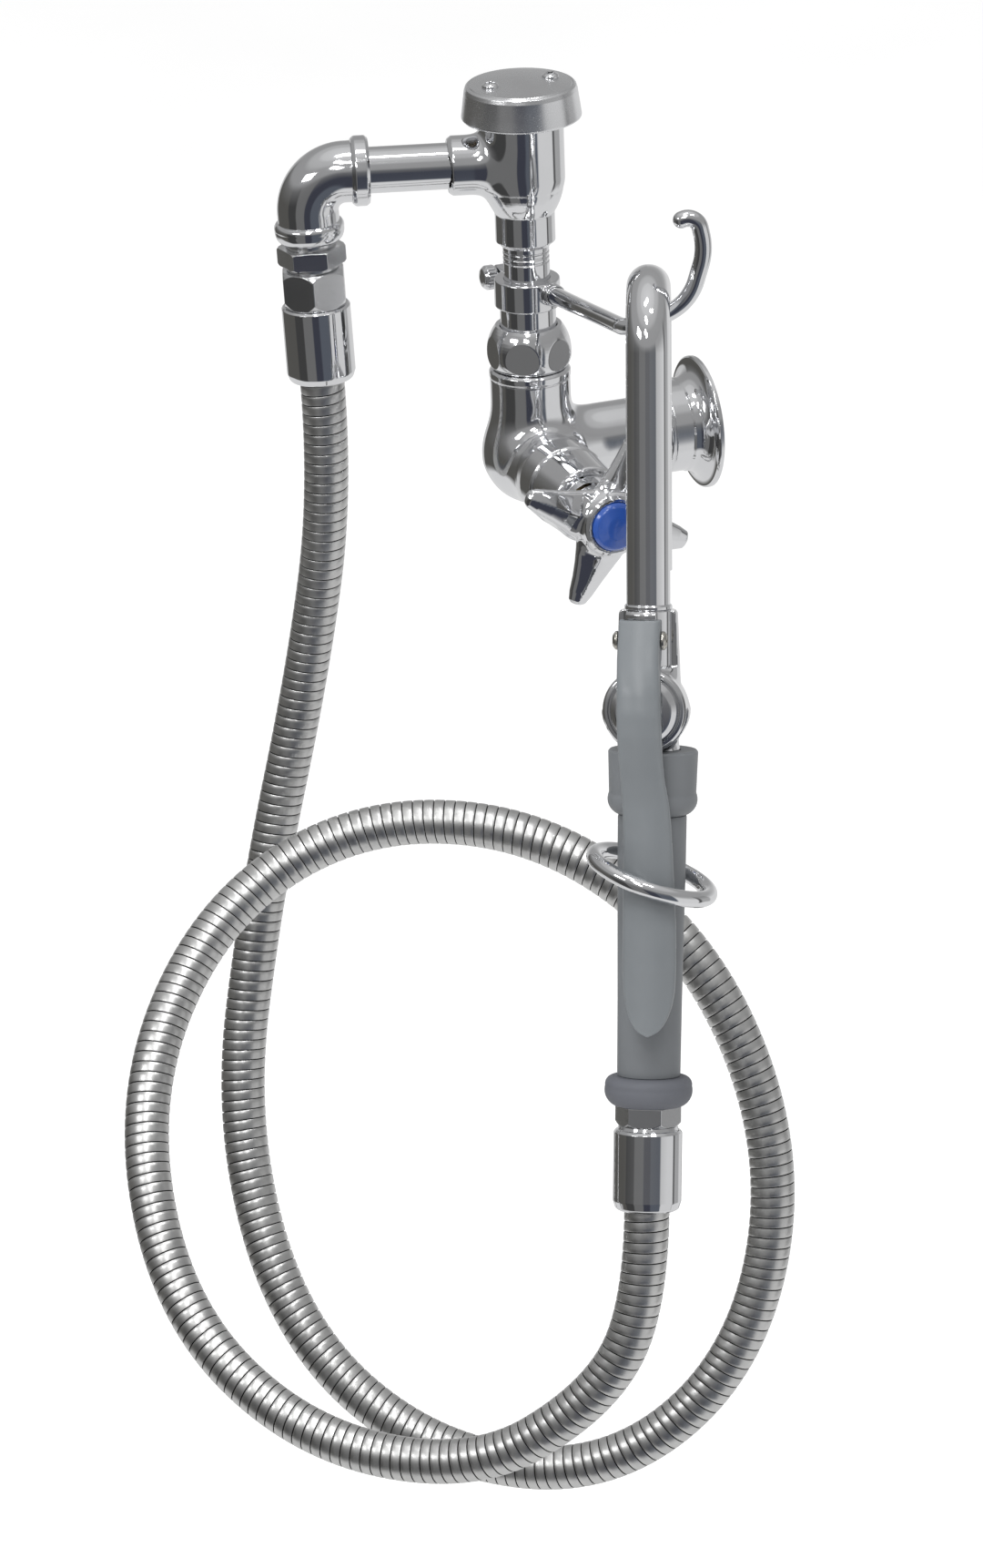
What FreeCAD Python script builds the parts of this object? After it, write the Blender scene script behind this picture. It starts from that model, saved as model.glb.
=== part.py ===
import FreeCAD, Part
import os
import math
from FreeCAD import Vector as V

# Wall-mounted kitchen filling faucet: one valve on the wall, a riser with a
# vacuum breaker, a long metal hose, and a hand-held hook nozzle with a squeeze
# lever that hangs on a bent rod.
# Frame, millimetres: the origin is the centre of the wall flange in the wall
# plane, +Y points into the wall, +Z is up, +X is the side with the tap handle.

os.makedirs("parts", exist_ok=True)

# ---------------------------------------------------------------- dimensions
RISER_Y = -83.1            # riser axis stands this far from the wall
STEM_Z = -4.8              # height of the tap stem's axis

FLANGE_R = 30.75           # wall flange rim
FLANGE_BOSS_R = 21.3
FLANGE_LEN = 22.0
NPT_R = 9.9                # half-inch pipe thread, female, wall radius
NPT_LEN = 14.0
INLET_ARM_R = 15.8
INLET_SPIGOT_R = 13.1

BULB_R = 22.8
BARREL_R = 18.4
BEAD_R = 18.7
STEM_BOSS_R = 19.3
STEM_BOSS_X = 47.0

PIPE_R = 10.65             # half-inch pipe, outer radius
PIPE_RI = 7.9

SLEEVE_R = 12.8
CLAMP_R = 15.1
CLAMP_Z0, CLAMP_Z1 = 69.2, 82.4

HOOD_RIM_R = 27.5
HOOD_Z0, HOOD_Z1 = 158.8, 176.4
HOOD_SCREW_Y = 15.8

PORT_Z = 137.5             # outlet port of the vacuum breaker
PORT_DIR = V(-0.2823, -0.9593, 0.0)
NIPPLE_T0, NIPPLE_T1 = 24.0, 82.0
ELBOW_T = 99.6             # riser axis to elbow corner
LEG_TILT = 2.4             # degrees, foot of the lower leg towards the riser

HOSE_R = 10.2
HOSE_RI = 9.0
HOSE_PTS = [               # route of the hose's centre line, end to end
    (-27.0, -174.7, 39.0),
    (-26.3, -172.5, -14.2),
    (-38.6, -182.9, -104.6),
    (-37.1, -211.2, -212.0),
    (-18.2, -236.2, -316.4),
    (33.2, -229.6, -404.8),
    (87.8, -182.4, -452.9),
    (140.1, -114.5, -455.3),
    (161.1, -52.8, -400.7),
    (150.4, -26.3, -309.2),
    (113.9, -46.8, -217.3),
    (59.3, -100.9, -165.4),
    (13.1, -175.4, -161.3),
    (2.3, -247.8, -199.1),
    (40.4, -303.0, -266.7),
    (98.1, -309.6, -349.5),
    (161.4, -271.4, -396.9),
    (215.3, -207.2, -404.2),
    (243.2, -157.4, -366.1),
    (248.9, -134.7, -323.5),
    (239.3, -129.0, -279.6),
]

# handset: own frame at the top of the nozzle's front leg; +Z up its axis,
# +X the side with the squeeze lever
HS_ORG = V(155.138, -84.461, 94.093)
HS_Z = V(-0.2200, 0.1120, 0.9690)
HS_X = V(0.8530, -0.4590, 0.2460)
HS_U = V(0.8980, -0.3650, 0.2460)   # plane of the nozzle's bend
NOZ_R = 9.8
NOZ_RI = 8.2
NOZ_BEND = 27.0
NOZ_REAR_LEN = 103.0
PIVOT_X, PIVOT_S = 14.0, 127.6      # lever pivot: forward of and down the axis
PIV_Y = -2.05                       # middle of the lever's upper end, sideways
VALVE_S = 158.6                     # height of the spray valve's cross bore
LEVER_SKIN = 2.2
RING_S, RING_F, RING_SIDE = 233.3, 6.7, 2.0
RING_R, RING_WIRE = 27.0, 3.75
RING_ROLL, RING_PITCH = 20.0, 5.3

# the grip and all below it stand on an axis that leaves the nozzle's by 4.96 mm
# sideways at the top and comes back 0.0168 mm for each mm down
_z = V(HS_Z)
_z.normalize()
_x = HS_X - _z * HS_X.dot(_z)
_x.normalize()
LOW_ORG = HS_ORG + _z.cross(_x) * 4.96
LOW_Z = _z + _z.cross(_x) * 0.0168
LOW_Z.normalize()

# hook arm: centre line of the bent rod, from the clamp to the tip
ROD_R = 3.85
ROD_PTS = [
    (11.5, -76.1, 76.8),
    (122.5, -83.1, 95.3),
    (131.2, -74.4, 98.8),
    (137.9, -57.2, 107.8),
    (140.9, -50.1, 132.4),
    (139.1, -53.1, 149.3),
    (136.8, -59.6, 146.4),
]

# ------------------------------------------------------------------- helpers
def unit(v):
    v = V(v)
    v.normalize()
    return v


def place(shape, org, z, x=None):
    """Put a shape made in its own frame at org, its Z along z, its X near x."""
    z = unit(z)
    if x is None:
        x = V(0, 0, 1) if abs(z.z) < 0.9 else V(1, 0, 0)
    x = unit(V(x) - z * V(x).dot(z))
    y = z.cross(x)
    m = FreeCAD.Matrix(x.x, y.x, z.x, org.x, x.y, y.y, z.y, org.y,
                       x.z, y.z, z.z, org.z, 0, 0, 0, 1)
    s = shape.copy()
    s.Placement = FreeCAD.Placement(m).multiply(s.Placement)
    return s


def lathe(profile):
    """Solid of revolution about Z. Profile items are (r, z) for a line, or
    (r, z, rm, zm) for an arc that passes through (rm, zm)."""
    edges = []
    first = V(profile[0][0], 0, profile[0][1])
    last = first
    for item in profile[1:] + [profile[0][:2]]:
        p = V(item[0], 0, item[1])
        if (p - last).Length < 1e-7:
            continue
        if len(item) == 4:
            edges.append(Part.Arc(last, V(item[2], 0, item[3]), p).toShape())
        else:
            edges.append(Part.LineSegment(last, p).toShape())
        last = p
    face = Part.Face(Part.Wire(edges))
    return face.revolve(V(0, 0, 0), V(0, 0, 1), 360)


def cyl(r, z0, z1):
    return Part.makeCylinder(r, z1 - z0, V(0, 0, z0))


def ring(ro, ri, z0, z1):
    return cyl(ro, z0, z1).cut(cyl(ri, z0 - 1, z1 + 1))


def hexa(af, z0, z1, turn=0.0):
    r = af / math.sqrt(3)
    pts = [V(r * math.cos(math.radians(turn + 60 * k)),
             r * math.sin(math.radians(turn + 60 * k)), z0) for k in range(7)]
    return Part.Face(Part.makePolygon(pts)).extrude(V(0, 0, z1 - z0))


def box(x0, x1, y0, y1, z0, z1):
    return Part.makeBox(x1 - x0, y1 - y0, z1 - z0, V(x0, y0, z0))


def path_wire(pts, radii):
    """Straight runs joined by tangent arcs; radii has one value per inner point."""
    pts = [V(*p) for p in pts]
    edges = []
    last = pts[0]
    for i in range(1, len(pts) - 1):
        a, b, c = pts[i - 1], pts[i], pts[i + 1]
        d1, d2 = unit(b - a), unit(c - b)
        half = d1.getAngle(d2) / 2.0
        cut = radii[i - 1] * math.tan(half)
        p, q = b - d1 * cut, b + d2 * cut
        mid = b + unit(d2 - d1) * (radii[i - 1] / math.cos(half) - radii[i - 1])
        edges.append(Part.LineSegment(last, p).toShape())
        edges.append(Part.Arc(p, mid, q).toShape())
        last = q
    edges.append(Part.LineSegment(last, pts[-1]).toShape())
    return Part.Wire(edges)


def sweep(pts, radii, r):
    wire = path_wire(pts, radii)
    d = unit(V(*pts[1]) - V(*pts[0]))
    prof = Part.Wire([Part.makeCircle(r, V(*pts[0]), d)])
    return wire.makePipeShell([prof], True, False), wire


def bent_rod(pts, radii, r):
    """The same route as a row of cylinders and torus pieces, fused."""
    pts = [V(*p) for p in pts]
    out = []
    last = pts[0]
    for i in range(1, len(pts) - 1):
        a, b, c = pts[i - 1], pts[i], pts[i + 1]
        d1, d2 = unit(b - a), unit(c - b)
        turn = d1.getAngle(d2)
        cut = radii[i - 1] * math.tan(turn / 2.0)
        p = b - d1 * cut
        out.append(Part.makeCylinder(r, (p - last).Length, last, d1))
        face = Part.Face(Part.Wire([Part.makeCircle(r, p, d1)]))
        cen = b + unit(d2 - d1) * (radii[i - 1] / math.cos(turn / 2.0))
        out.append(face.revolve(cen, d1.cross(d2), math.degrees(turn)))
        last = b + d2 * cut
    out.append(Part.makeCylinder(r, (pts[-1] - last).Length, last, unit(pts[-1] - pts[-2])))
    rod = out[0]
    for q in out[1:]:
        rod = rod.fuse(q)
    return rod


def fuse(*shapes):
    out = shapes[0]
    for s in shapes[1:]:
        out = out.fuse(s)
    return out.removeSplitter()


def solid_of(shape):
    return shape.Solids[0] if len(shape.Solids) == 1 else shape


NODES = {}


def keep(name, shape):
    NODES[name] = solid_of(shape)


# ------------------------------------------------------------------ wall end
# own frame: Z runs from the wall outwards
WALL = V(0, 0, 0)
OUT = V(0, -1, 0)


def at_wall(s):
    return place(s, WALL, OUT, V(1, 0, 0))


keep("wall_flange", at_wall(lathe([
    (NPT_R, 0), (FLANGE_R - 0.4, 0), (FLANGE_R, 0.6), (FLANGE_R, 1.8),
    (29.9, 2.6), (FLANGE_BOSS_R + 0.6, 10.4, 24.4, 4.6), (FLANGE_BOSS_R, 11.2),
    (FLANGE_BOSS_R, FLANGE_LEN - 1.2), (FLANGE_BOSS_R - 1.2, FLANGE_LEN),
    (INLET_SPIGOT_R, FLANGE_LEN), (INLET_SPIGOT_R, NPT_LEN), (NPT_R, NPT_LEN)])))
keep("inlet_washer", at_wall(ring(12.8, 7.5, NPT_LEN, NPT_LEN + 1.6)))

# ---------------------------------------------------------------- valve body
RISER = V(0, RISER_Y, 0)
STEM = V(0, RISER_Y, STEM_Z)


def at_riser(s):
    return place(s, RISER, V(0, 0, 1), V(1, 0, 0))


def at_stem(s):
    return place(s, STEM, V(1, 0, 0), V(0, 1, 0))


arm_len = -RISER_Y
body = fuse(
    at_riser(Part.makeSphere(BULB_R, V(0, 0, -2))),
    at_riser(cyl(BARREL_R, 4, 34.5)),
    at_riser(lathe([(0, 34.5), (BEAD_R - 0.8, 34.5), (BEAD_R - 0.8, 39.4, BEAD_R, 37),
                    (14.8, 39.4), (14.8, 49.4), (0, 49.4)])),
    at_wall(cyl(INLET_ARM_R, FLANGE_LEN + 0.2, arm_len)),
    at_wall(cyl(INLET_SPIGOT_R, NPT_LEN + 1.6, FLANGE_LEN + 1)),
    at_stem(lathe([(0, 2), (STEM_BOSS_R - 1.4, 2), (STEM_BOSS_R - 1.4, 24), (STEM_BOSS_R, 34),
                   (STEM_BOSS_R, STEM_BOSS_X - 1), (STEM_BOSS_R - 1, STEM_BOSS_X), (0, STEM_BOSS_X)])))
body = body.cut(at_wall(cyl(7.5, NPT_LEN, 60)))
body = body.cut(place(cyl(5.2, 0, 28), V(-9.5, -57, STEM_Z), V(0, -1, 0), V(1, 0, 0)))
body = body.cut(place(Part.makeSphere(7.5), V(-2, -58.5, -1), V(0, 0, 1)))
body = body.cut(at_stem(cyl(7.0, -16, -3)))
body = body.cut(at_stem(cyl(11.5, -4, 29)))
body = body.cut(at_stem(cyl(14.0, 28, STEM_BOSS_X + 1)))
body = body.cut(at_riser(cyl(8.5, 0, 50)))
keep("valve_body", body)

# tap cartridge, along the stem
keep("seat_seal", at_stem(ring(9.6, 5.6, -4, -1.5)))
ports = [place(cyl(2.2, -6, 10), V(4.6 * math.cos(a), 4.6 * math.sin(a), 0), V(0, 0, 1))
         for a in (math.radians(90), math.radians(270))]
disc = cyl(8.5, -1.5, 1.5).cut(ports[0]).cut(ports[1])
keep("fixed_ceramic_disc", at_stem(disc))
ports = [place(cyl(2.2, -6, 10), V(4.6 * math.cos(a), 4.6 * math.sin(a), 0), V(0, 0, 1))
         for a in (0.0, math.pi)]
disc = cyl(8.4, 1.55, 4.5).cut(ports[0]).cut(ports[1])
keep("turning_ceramic_disc", at_stem(disc))
housing = lathe([(8.6, -1.5), (11.3, -1.5), (11.3, 28.0), (13.7, 28.0), (13.7, 30.5),
                 (6.06, 30.5), (6.06, 11.0), (8.6, 11.0)])
housing = housing.cut(place(cyl(3.4, -14, 14), V(0, 0, 7.4), V(0, 1, 0)))
housing = housing.cut(place(cyl(3.4, -14, 14), V(0, 0, 7.4), V(1, 0, 0)))
keep("cartridge_housing", at_stem(housing))
stem = lathe([(0, 4.55), (8.4, 4.55), (8.4, 6.0), (6.0, 8.0), (6.0, 22.0), (4.9, 22.4),
              (4.9, 24.6), (6.0, 25.0), (6.0, 80.0), (4.9, 80.0), (4.9, 94.0),
              (2.1, 94.0), (2.1, 80.0), (0, 80.0)])
keep("stem", at_stem(stem))
keep("stem_o_ring", at_stem(Part.makeTorus(5.45, 0.55, V(0, 0, 23.5))))
keep("bonnet", at_stem(lathe([
    (6.4, 30.5), (13.9, 30.5), (13.9, STEM_BOSS_X), (18.4, STEM_BOSS_X + 0.2),
    (18.9, 49.5), (18.3, 60.0), (17.9, 71.5), (17.0, 73.4, 17.7, 72.9), (16.2, 73.4), (16.0, 70.6),
    (13.9, 70.6), (13.6, 73.0), (10.4, 73.0), (10.4, 68.0), (6.4, 68.0)])))

# four-arm handle
hub = lathe([(6.1, 73.6), (9.6, 73.6), (9.9, 73.9), (11.6, 78.0), (12.6, 84.0), (14.2, 90.0),
             (15.4, 97.0), (15.0, 103.0, 15.6, 100.4), (12.9, 105.4, 14.3, 104.9), (11.5, 105.4), (11.5, 100.0),
             (5.2, 100.0), (5.2, 96.6), (2.3, 96.6), (2.3, 94.2), (4.95, 94.2), (4.95, 80.2), (6.1, 80.2)])
ARM_SECTIONS = [  # distance from the stem, height along it, half width, half thickness
    (7.5, 96.2, 12.6, 6.6), (15.0, 96.8, 11.2, 6.0), (22.0, 96.4, 9.0, 5.2),
    (29.0, 95.6, 7.1, 4.5), (36.0, 94.6, 5.4, 3.8), (40.2, 94.0, 4.2, 3.0), (42.0, 93.7, 1.6, 1.2)]


def handle_arm(deg):
    wires = []
    for rad, t, hw, ht in ARM_SECTIONS:
        e = Part.Ellipse(V(0, 0, 0), hw, ht).toShape()
        w = Part.Wire([e])
        w = place(w, V(rad, 0, t), V(1, 0, 0), V(0, 1, 0))
        wires.append(w)
    arm = Part.makeLoft(wires, True)
    arm.rotate(V(0, 0, 0), V(0, 0, 1), deg)
    return arm


ARM_DEG = (-23.0, 67.0, 157.0, 247.0)
core = cyl(11.5, 100.0, 110).fuse(cyl(5.2, 96.6, 101)).fuse(cyl(2.3, 90, 97)).fuse(cyl(6.1, 70, 94.2))
arms = [handle_arm(d).cut(core) for d in ARM_DEG]
keep("four_arm_handle", at_stem(fuse(hub, *arms)))
keep("handle_screw", at_stem(lathe([(0, 82.5), (2.1, 82.5), (2.1, 96.6), (4.6, 96.6), (4.6, 98.6),
                                    (3.6, 99.6, 4.3, 99.3), (0, 99.6)])))
keep("index_button", at_stem(lathe([(0, 100.0), (11.3, 100.0), (11.3, 106.2),
                                    (10.0, 107.8, 11.0, 107.3), (0.6, 109.2, 5.2, 108.9), (0, 109.2)])))

# -------------------------------------------------------------- riser column
nut = lathe([(0, 39.6), (17.0, 39.6), (19.5, 46.5, 18.8, 42.6), (15.2, 60.0, 18.3, 54.2), (0, 60.0)])
nut = nut.common(hexa(35.6, 39, 61, 17.4))
nut = nut.cut(cyl(15.0, 39, 53.2)).cut(cyl(12.9, 52, 62))
keep("riser_nut", at_riser(nut))
keep("riser_gasket", at_riser(ring(14.6, 8.6, 49.4, 50.6)))
keep("swivel_sleeve", at_riser(lathe([(8.0, 50.6), (14.7, 50.6), (14.7, 53.1), (SLEEVE_R, 53.1),
                                      (SLEEVE_R, 69.0), (PIPE_R, 69.0), (PIPE_R, 57.0), (8.0, 57.0)])))
keep("riser_nipple", at_riser(lathe([(PIPE_RI, 57.0), (PIPE_R, 57.0), (PIPE_R, 90.6),
                                     (10.2, 91.0), (PIPE_R, 91.6), (PIPE_R, 93.2), (10.2, 93.6), (PIPE_R, 94.2),
                                     (PIPE_R, 110.0), (PIPE_RI, 110.0)])))

# split clamp that carries the hook arm, with its pinch lugs behind the riser
rod_dir = unit(V(*ROD_PTS[1]) - V(*ROD_PTS[0]))
clamp = at_riser(lathe([(PIPE_R + 0.02, CLAMP_Z0), (CLAMP_R - 0.6, CLAMP_Z0), (CLAMP_R, CLAMP_Z0 + 0.6),
                        (CLAMP_R, CLAMP_Z1 - 0.6), (CLAMP_R - 0.6, CLAMP_Z1), (PIPE_R + 0.02, CLAMP_Z1)]))
lug = box(-31, -12, RISER_Y - 5.6, RISER_Y + 5.6, 70.4, 81.2)
lug = lug.common(place(cyl(5.4, -7, 7), V(-25.6, RISER_Y, 75.8), V(0, 1, 0)).fuse(
    box(-25.6, -10, RISER_Y - 7, RISER_Y + 7, 70.4, 81.2)))
arm_boss = place(lathe([(0, -8.0), (5.2, -8.0), (5.2, 5.6), (4.75, 9.0, 5.05, 7.6), (0, 9.0)]),
                 V(*ROD_PTS[0]), rod_dir)
clamp = clamp.fuse(lug.cut(at_riser(cyl(PIPE_R + 0.02, 60, 90)))).fuse(
    arm_boss.cut(at_riser(cyl(PIPE_R + 0.02, 60, 95)))).removeSplitter()
clamp = clamp.cut(box(-40, -9, RISER_Y - 0.9, RISER_Y + 0.9, 60, 90))
clamp = clamp.cut(place(cyl(2.25, -8, 8), V(-25.6, RISER_Y, 75.8), V(0, 1, 0)))
clamp = clamp.cut(place(cyl(4.1, -0.4, 20), V(*ROD_PTS[0]), rod_dir))
keep("hook_clamp", clamp)

screw = lathe([(0, -6.4), (2.2, -6.4), (2.2, 5.9), (4.9, 5.9), (5.75, 6.6), (5.75, 11.4), (4.6, 12.6, 5.5, 12.2), (0, 12.9)])
for k in range(18):
    a = math.radians(20 * k)
    screw = screw.cut(Part.makeCylinder(0.45, 5.2, V(5.9 * math.cos(a), 5.9 * math.sin(a), 6.4)))
keep("clamp_screw", place(screw, V(-25.6, RISER_Y, 75.8), V(0, -1, 0)))

# hook arm: root cone in the clamp, then the bent rod, then a rounded tip
rod_root = V(*ROD_PTS[0]) - rod_dir * 0.4
ROD_RADII = [9.5, 14.0, 24.0, 30.0, 5.6]
rod_root_len = 56.0
rod_pts = [tuple(rod_root + rod_dir * rod_root_len)] + ROD_PTS[1:]
rod_bend = bent_rod(rod_pts, ROD_RADII, ROD_R)
rod_taper = place(Part.makeCone(4.1, ROD_R, rod_root_len), rod_root, rod_dir)
last_dir = unit(V(*ROD_PTS[-1]) - V(*ROD_PTS[-2]))
tip = place(lathe([(0, 0), (ROD_R, 0), (ROD_R, 0.5), (0.5, 3.85, 2.85, 3.1), (0, 3.85)]), V(*ROD_PTS[-1]), last_dir)
rod = rod_taper.fuse(rod_bend).fuse(tip)
keep("hook_arm", rod)

# ------------------------------------------------------------ vacuum breaker
vb = at_riser(lathe([
    (PIPE_R, 98.2), (11.4, 98.2), (12.2, 99.4, 12.0, 98.6), (13.7, 100.3), (13.7, 114.0),
    (18.2, 125.8, 16.6, 119.8), (19.0, 132.0, 18.85, 128.8), (19.0, 157.6), (17.5, 157.6), (17.5, 150.6), (15.0, 150.6), (15.0, 124.6),
    (9.6, 124.6), (9.6, 126.2), (7.0, 126.2), (7.0, 123.4), (10.6, 119.0), (10.6, 113.0), (8.4, 111.6),
    (8.4, 110.2), (PIPE_R, 110.2)]))
port_org = V(0, RISER_Y, PORT_Z)


def at_port(s):
    return place(s, port_org, PORT_DIR, V(0, 0, 1))


collar = at_port(lathe([(0, 10), (13.75, 10), (13.75, 32.8), (12.4, 34.6, 13.4, 34.1), (0, 34.6)]))
vb = vb.fuse(collar.cut(at_riser(cyl(15.0, 120, 156)))).removeSplitter()
vb = vb.cut(at_riser(cyl(17.5, 150.6, 158)))
vb = vb.cut(at_port(cyl(PIPE_R, NIPPLE_T0, 40))).cut(at_port(cyl(7.0, 8, 30)))
keep("vacuum_breaker_body", vb)

plug = at_riser(lathe([
    (2.56, 146.2), (9.5, 146.2), (14.9, 146.2), (14.9, 151.0), (17.0, 151.0), (17.0, 153.8), (7.2, 153.8),
    (6.8, 157.0), (2.56, 157.0)]))
tube = at_riser(ring(9.5, 7.0, 134.2, 146.4))
plug = plug.fuse(tube)
for sy in (-1, 1):
    post = lathe([(0, 153.0), (2.3, 153.0), (2.3, 158.2), (3.2, 159.0), (3.2, 172.5), (0, 172.5)])
    post = place(post, V(-0.97 * sy, RISER_Y + sy * 14.97, 0), V(0, 0, 1))
    plug = plug.fuse(post)
plug = plug.removeSplitter()
for k in range(4):
    a = math.radians(45 + 90 * k)
    plug = plug.cut(Part.makeCylinder(1.5, 20, V(4.9 * math.cos(a), RISER_Y + 4.9 * math.sin(a), 140)))
for sy in (-1, 1):
    plug = plug.cut(Part.makeCylinder(1.6, 10, V(-0.97 * sy, RISER_Y + sy * 14.97, 163.0)))
keep("air_inlet_seat", plug)
keep("poppet", at_riser(lathe([(0, 126.25), (12.0, 126.25), (12.0, 129.6), (11.0, 130.2), (2.5, 130.2),
                               (2.5, 152.5), (0, 152.5)])))
keep("poppet_seal", at_riser(ring(11.2, 2.6, 130.2, 131.4)))
hood = at_riser(lathe([
    (0, HOOD_Z1 - 2.2), (22.6, 172.8), (24.2, 170.8, 23.8, 172.4), (25.2, 159.4), (26.4, HOOD_Z0, 25.6, 159.0),
    (HOOD_RIM_R, 160.4, 27.3, 159.4), (25.9, 172.2), (24.6, 174.6, 25.5, 174.0), (24.0, 174.6), (23.8, 175.0), (0, HOOD_Z1)]))
for sy in (-1, 1):
    hood = hood.cut(Part.makeCylinder(1.65, 10, V(-0.97 * sy, RISER_Y + sy * 14.97, 168)))
keep("hood", hood)
heads = []
for sy in (-1, 1):
    s = lathe([(0, 164.0), (1.6, 164.0), (1.6, 175.35), (4.0, 175.35), (3.3, 177.0, 3.85, 176.3), (0.4, 177.9, 1.9, 177.7), (0, 177.9)])
    heads.append(place(s, V(-0.97 * sy, RISER_Y + sy * 14.97, 0), V(0, 0, 1)))
NODES["hood_screws"] = Part.makeCompound(heads)
hood2 = NODES["hood"]
for h in heads:
    hood2 = hood2.cut(h)
keep("hood", hood2)

# ------------------------------------------------------- outlet pipe, elbow
keep("outlet_nipple", at_port(ring(PIPE_R, PIPE_RI, NIPPLE_T0 + 0.2, NIPPLE_T1)))
corner = port_org + unit(PORT_DIR) * ELBOW_T
t = math.radians(LEG_TILT)
LEG = unit(PORT_DIR * (-math.sin(t)) + V(0, 0, -math.cos(t)))


def at_leg(s, x=None):
    return place(s, corner, LEG, x if x is not None else V(1, 0, 0))


n = unit(PORT_DIR)
el_pts = [tuple(corner - n * 22.0), tuple(corner), tuple(corner + LEG * 24.0)]
el_out, w_ = sweep(el_pts, [17.4], 14.1)
el = el_out.fuse(at_port(lathe([(0, 69.7), (15.2, 69.7), (16.15, 71.0), (16.15, 76.4), (15.2, 77.7), (0, 77.7)])))
el = el.fuse(at_leg(lathe([(0, 22.6), (15.2, 22.6), (15.9, 26.4, 15.9, 23.9), (12.0, 31.6, 15.3, 30.3), (0, 31.6)]))).removeSplitter()
in_pts = [tuple(corner - n * 30.0), tuple(corner), tuple(corner + LEG * 34.0)]
el_in, w_ = sweep(in_pts, [17.4], 7.6)
el = el.cut(el_in).cut(at_port(cyl(PIPE_R, 69.0, NIPPLE_T1))).cut(at_leg(cyl(10.0, 20.5, 34)))
keep("elbow", el)

hexr = V(0.342, 0.9397, 0)          # turned so that the vertices match
ad = lathe([(7.0, 20.7), (9.95, 20.7), (9.95, 31.7), (11.35, 31.7), (11.35, 34.3), (12.5, 34.3), (12.5, 42.8),
            (12.1, 42.8), (12.1, 45.0), (9.4, 45.0), (9.4, 53.0), (7.0, 53.0)])
hx = hexa(27.5, 34.3, 42.8, 2.2).common(lathe([(0, 34.3), (15.0, 34.3), (15.9, 35.2), (15.9, 41.9), (15.0, 42.8), (0, 42.8)]))
hx = hx.cut(cyl(8.0, 30, 50))
keep("hose_adapter", at_leg(ad.fuse(hx).removeSplitter(), hexr))
keep("upper_hose_washer", at_leg(ring(9.3, 6.5, 53.0, 54.8)))
hn = hexa(27.8, 45.05, 62.6, 30.0).common(lathe([(0, 45.05), (13.9, 45.05), (16.1, 47.6), (16.1, 59.0), (14.0, 62.6), (0, 62.6)]))
hn = hn.cut(cyl(9.45, 40, 54.8)).cut(cyl(7.0, 40, 70))
keep("hose_nut", at_leg(hn, hexr))
keep("upper_ferrule", at_leg(lathe([
    (7.0, 62.6), (15.0, 62.6), (15.75, 63.4), (15.75, 95.2), (14.9, 97.6, 15.4, 96.7),
    (12.4, 98.6, 13.9, 98.4), (7.0, 98.6)])))

# ---------------------------------------------------------------------- hose
hp = [V(*p) for p in HOSE_PTS]
hp[0] = corner + LEG * 98.6
hp[-1] = LOW_ORG - LOW_Z * 385.7
hp[1] = hp[0] + LEG * 53.3
hp[-2] = hp[-1] - LOW_Z * 45.3
runs = [(hp[i + 1] - hp[i]).Length for i in range(len(hp) - 1)]
radii = []
for i in range(1, len(hp) - 1):
    half = unit(hp[i] - hp[i - 1]).getAngle(unit(hp[i + 1] - hp[i])) / 2.0
    radii.append(0.45 * min(runs[i - 1], runs[i]) / math.tan(half))
print("hose runs", [round(x, 1) for x in runs])
print("hose radii", [round(x, 1) for x in radii])
hose_wire = path_wire([tuple(p) for p in hp], radii)
c_out = Part.Wire([Part.makeCircle(HOSE_R, hp[0], LEG)])
c_in = Part.Wire([Part.makeCircle(HOSE_RI, hp[0], LEG)])
outer = hose_wire.makePipeShell([c_out], True, False)
inner = hose_wire.makePipeShell([c_in], True, False)
hose = outer.cut(inner)
print("hose length", round(hose_wire.Length, 1), "volume", round(hose.Volume, 0),
      "section x length", round(math.pi * (HOSE_R ** 2 - HOSE_RI ** 2) * hose_wire.Length, 0))
keep("hose", hose)

# ------------------------------------------------------------------- handset
hz = unit(HS_Z)
hx_ = unit(HS_X - hz * HS_X.dot(hz))
hy_ = hz.cross(hx_)
hu = unit(HS_U - hz * HS_U.dot(hz))
U_DEG = math.degrees(math.atan2(hu.dot(hy_), hu.dot(hx_)))


def at_hand(s):
    return place(s, HS_ORG, hz, hx_)


def at_low(s):
    return place(s, LOW_ORG, LOW_Z, hx_)


def hlathe(profile):
    """Lathe about the handset's axis, with stations measured down from the top."""
    out = []
    for it in profile:
        out.append((it[0], -it[1]) if len(it) == 2 else (it[0], -it[1], it[2], -it[3]))
    return lathe(out)


def cross(profile, s):
    """Lathe about the line that runs forwards (+X) at station s."""
    return place(lathe(profile), V(0, 0, -s), V(1, 0, 0), V(0, 0, 1))


def hring(ro, ri, s0, s1):
    return ring(ro, ri, -s1, -s0)


def bent_tube(r):
    front = Part.makeCylinder(r, 126.0, V(0, 0, -126.0))
    rear = Part.makeCylinder(r, NOZ_REAR_LEN, V(-2 * NOZ_BEND, 0, -NOZ_REAR_LEN))
    face = Part.Face(Part.Wire([Part.makeCircle(r, V(0, 0, 0), V(0, 0, 1))]))
    bend = face.revolve(V(-NOZ_BEND, 0, 0), V(0, -1, 0), 180)
    return front.fuse(bend).fuse(rear).removeSplitter()


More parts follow.
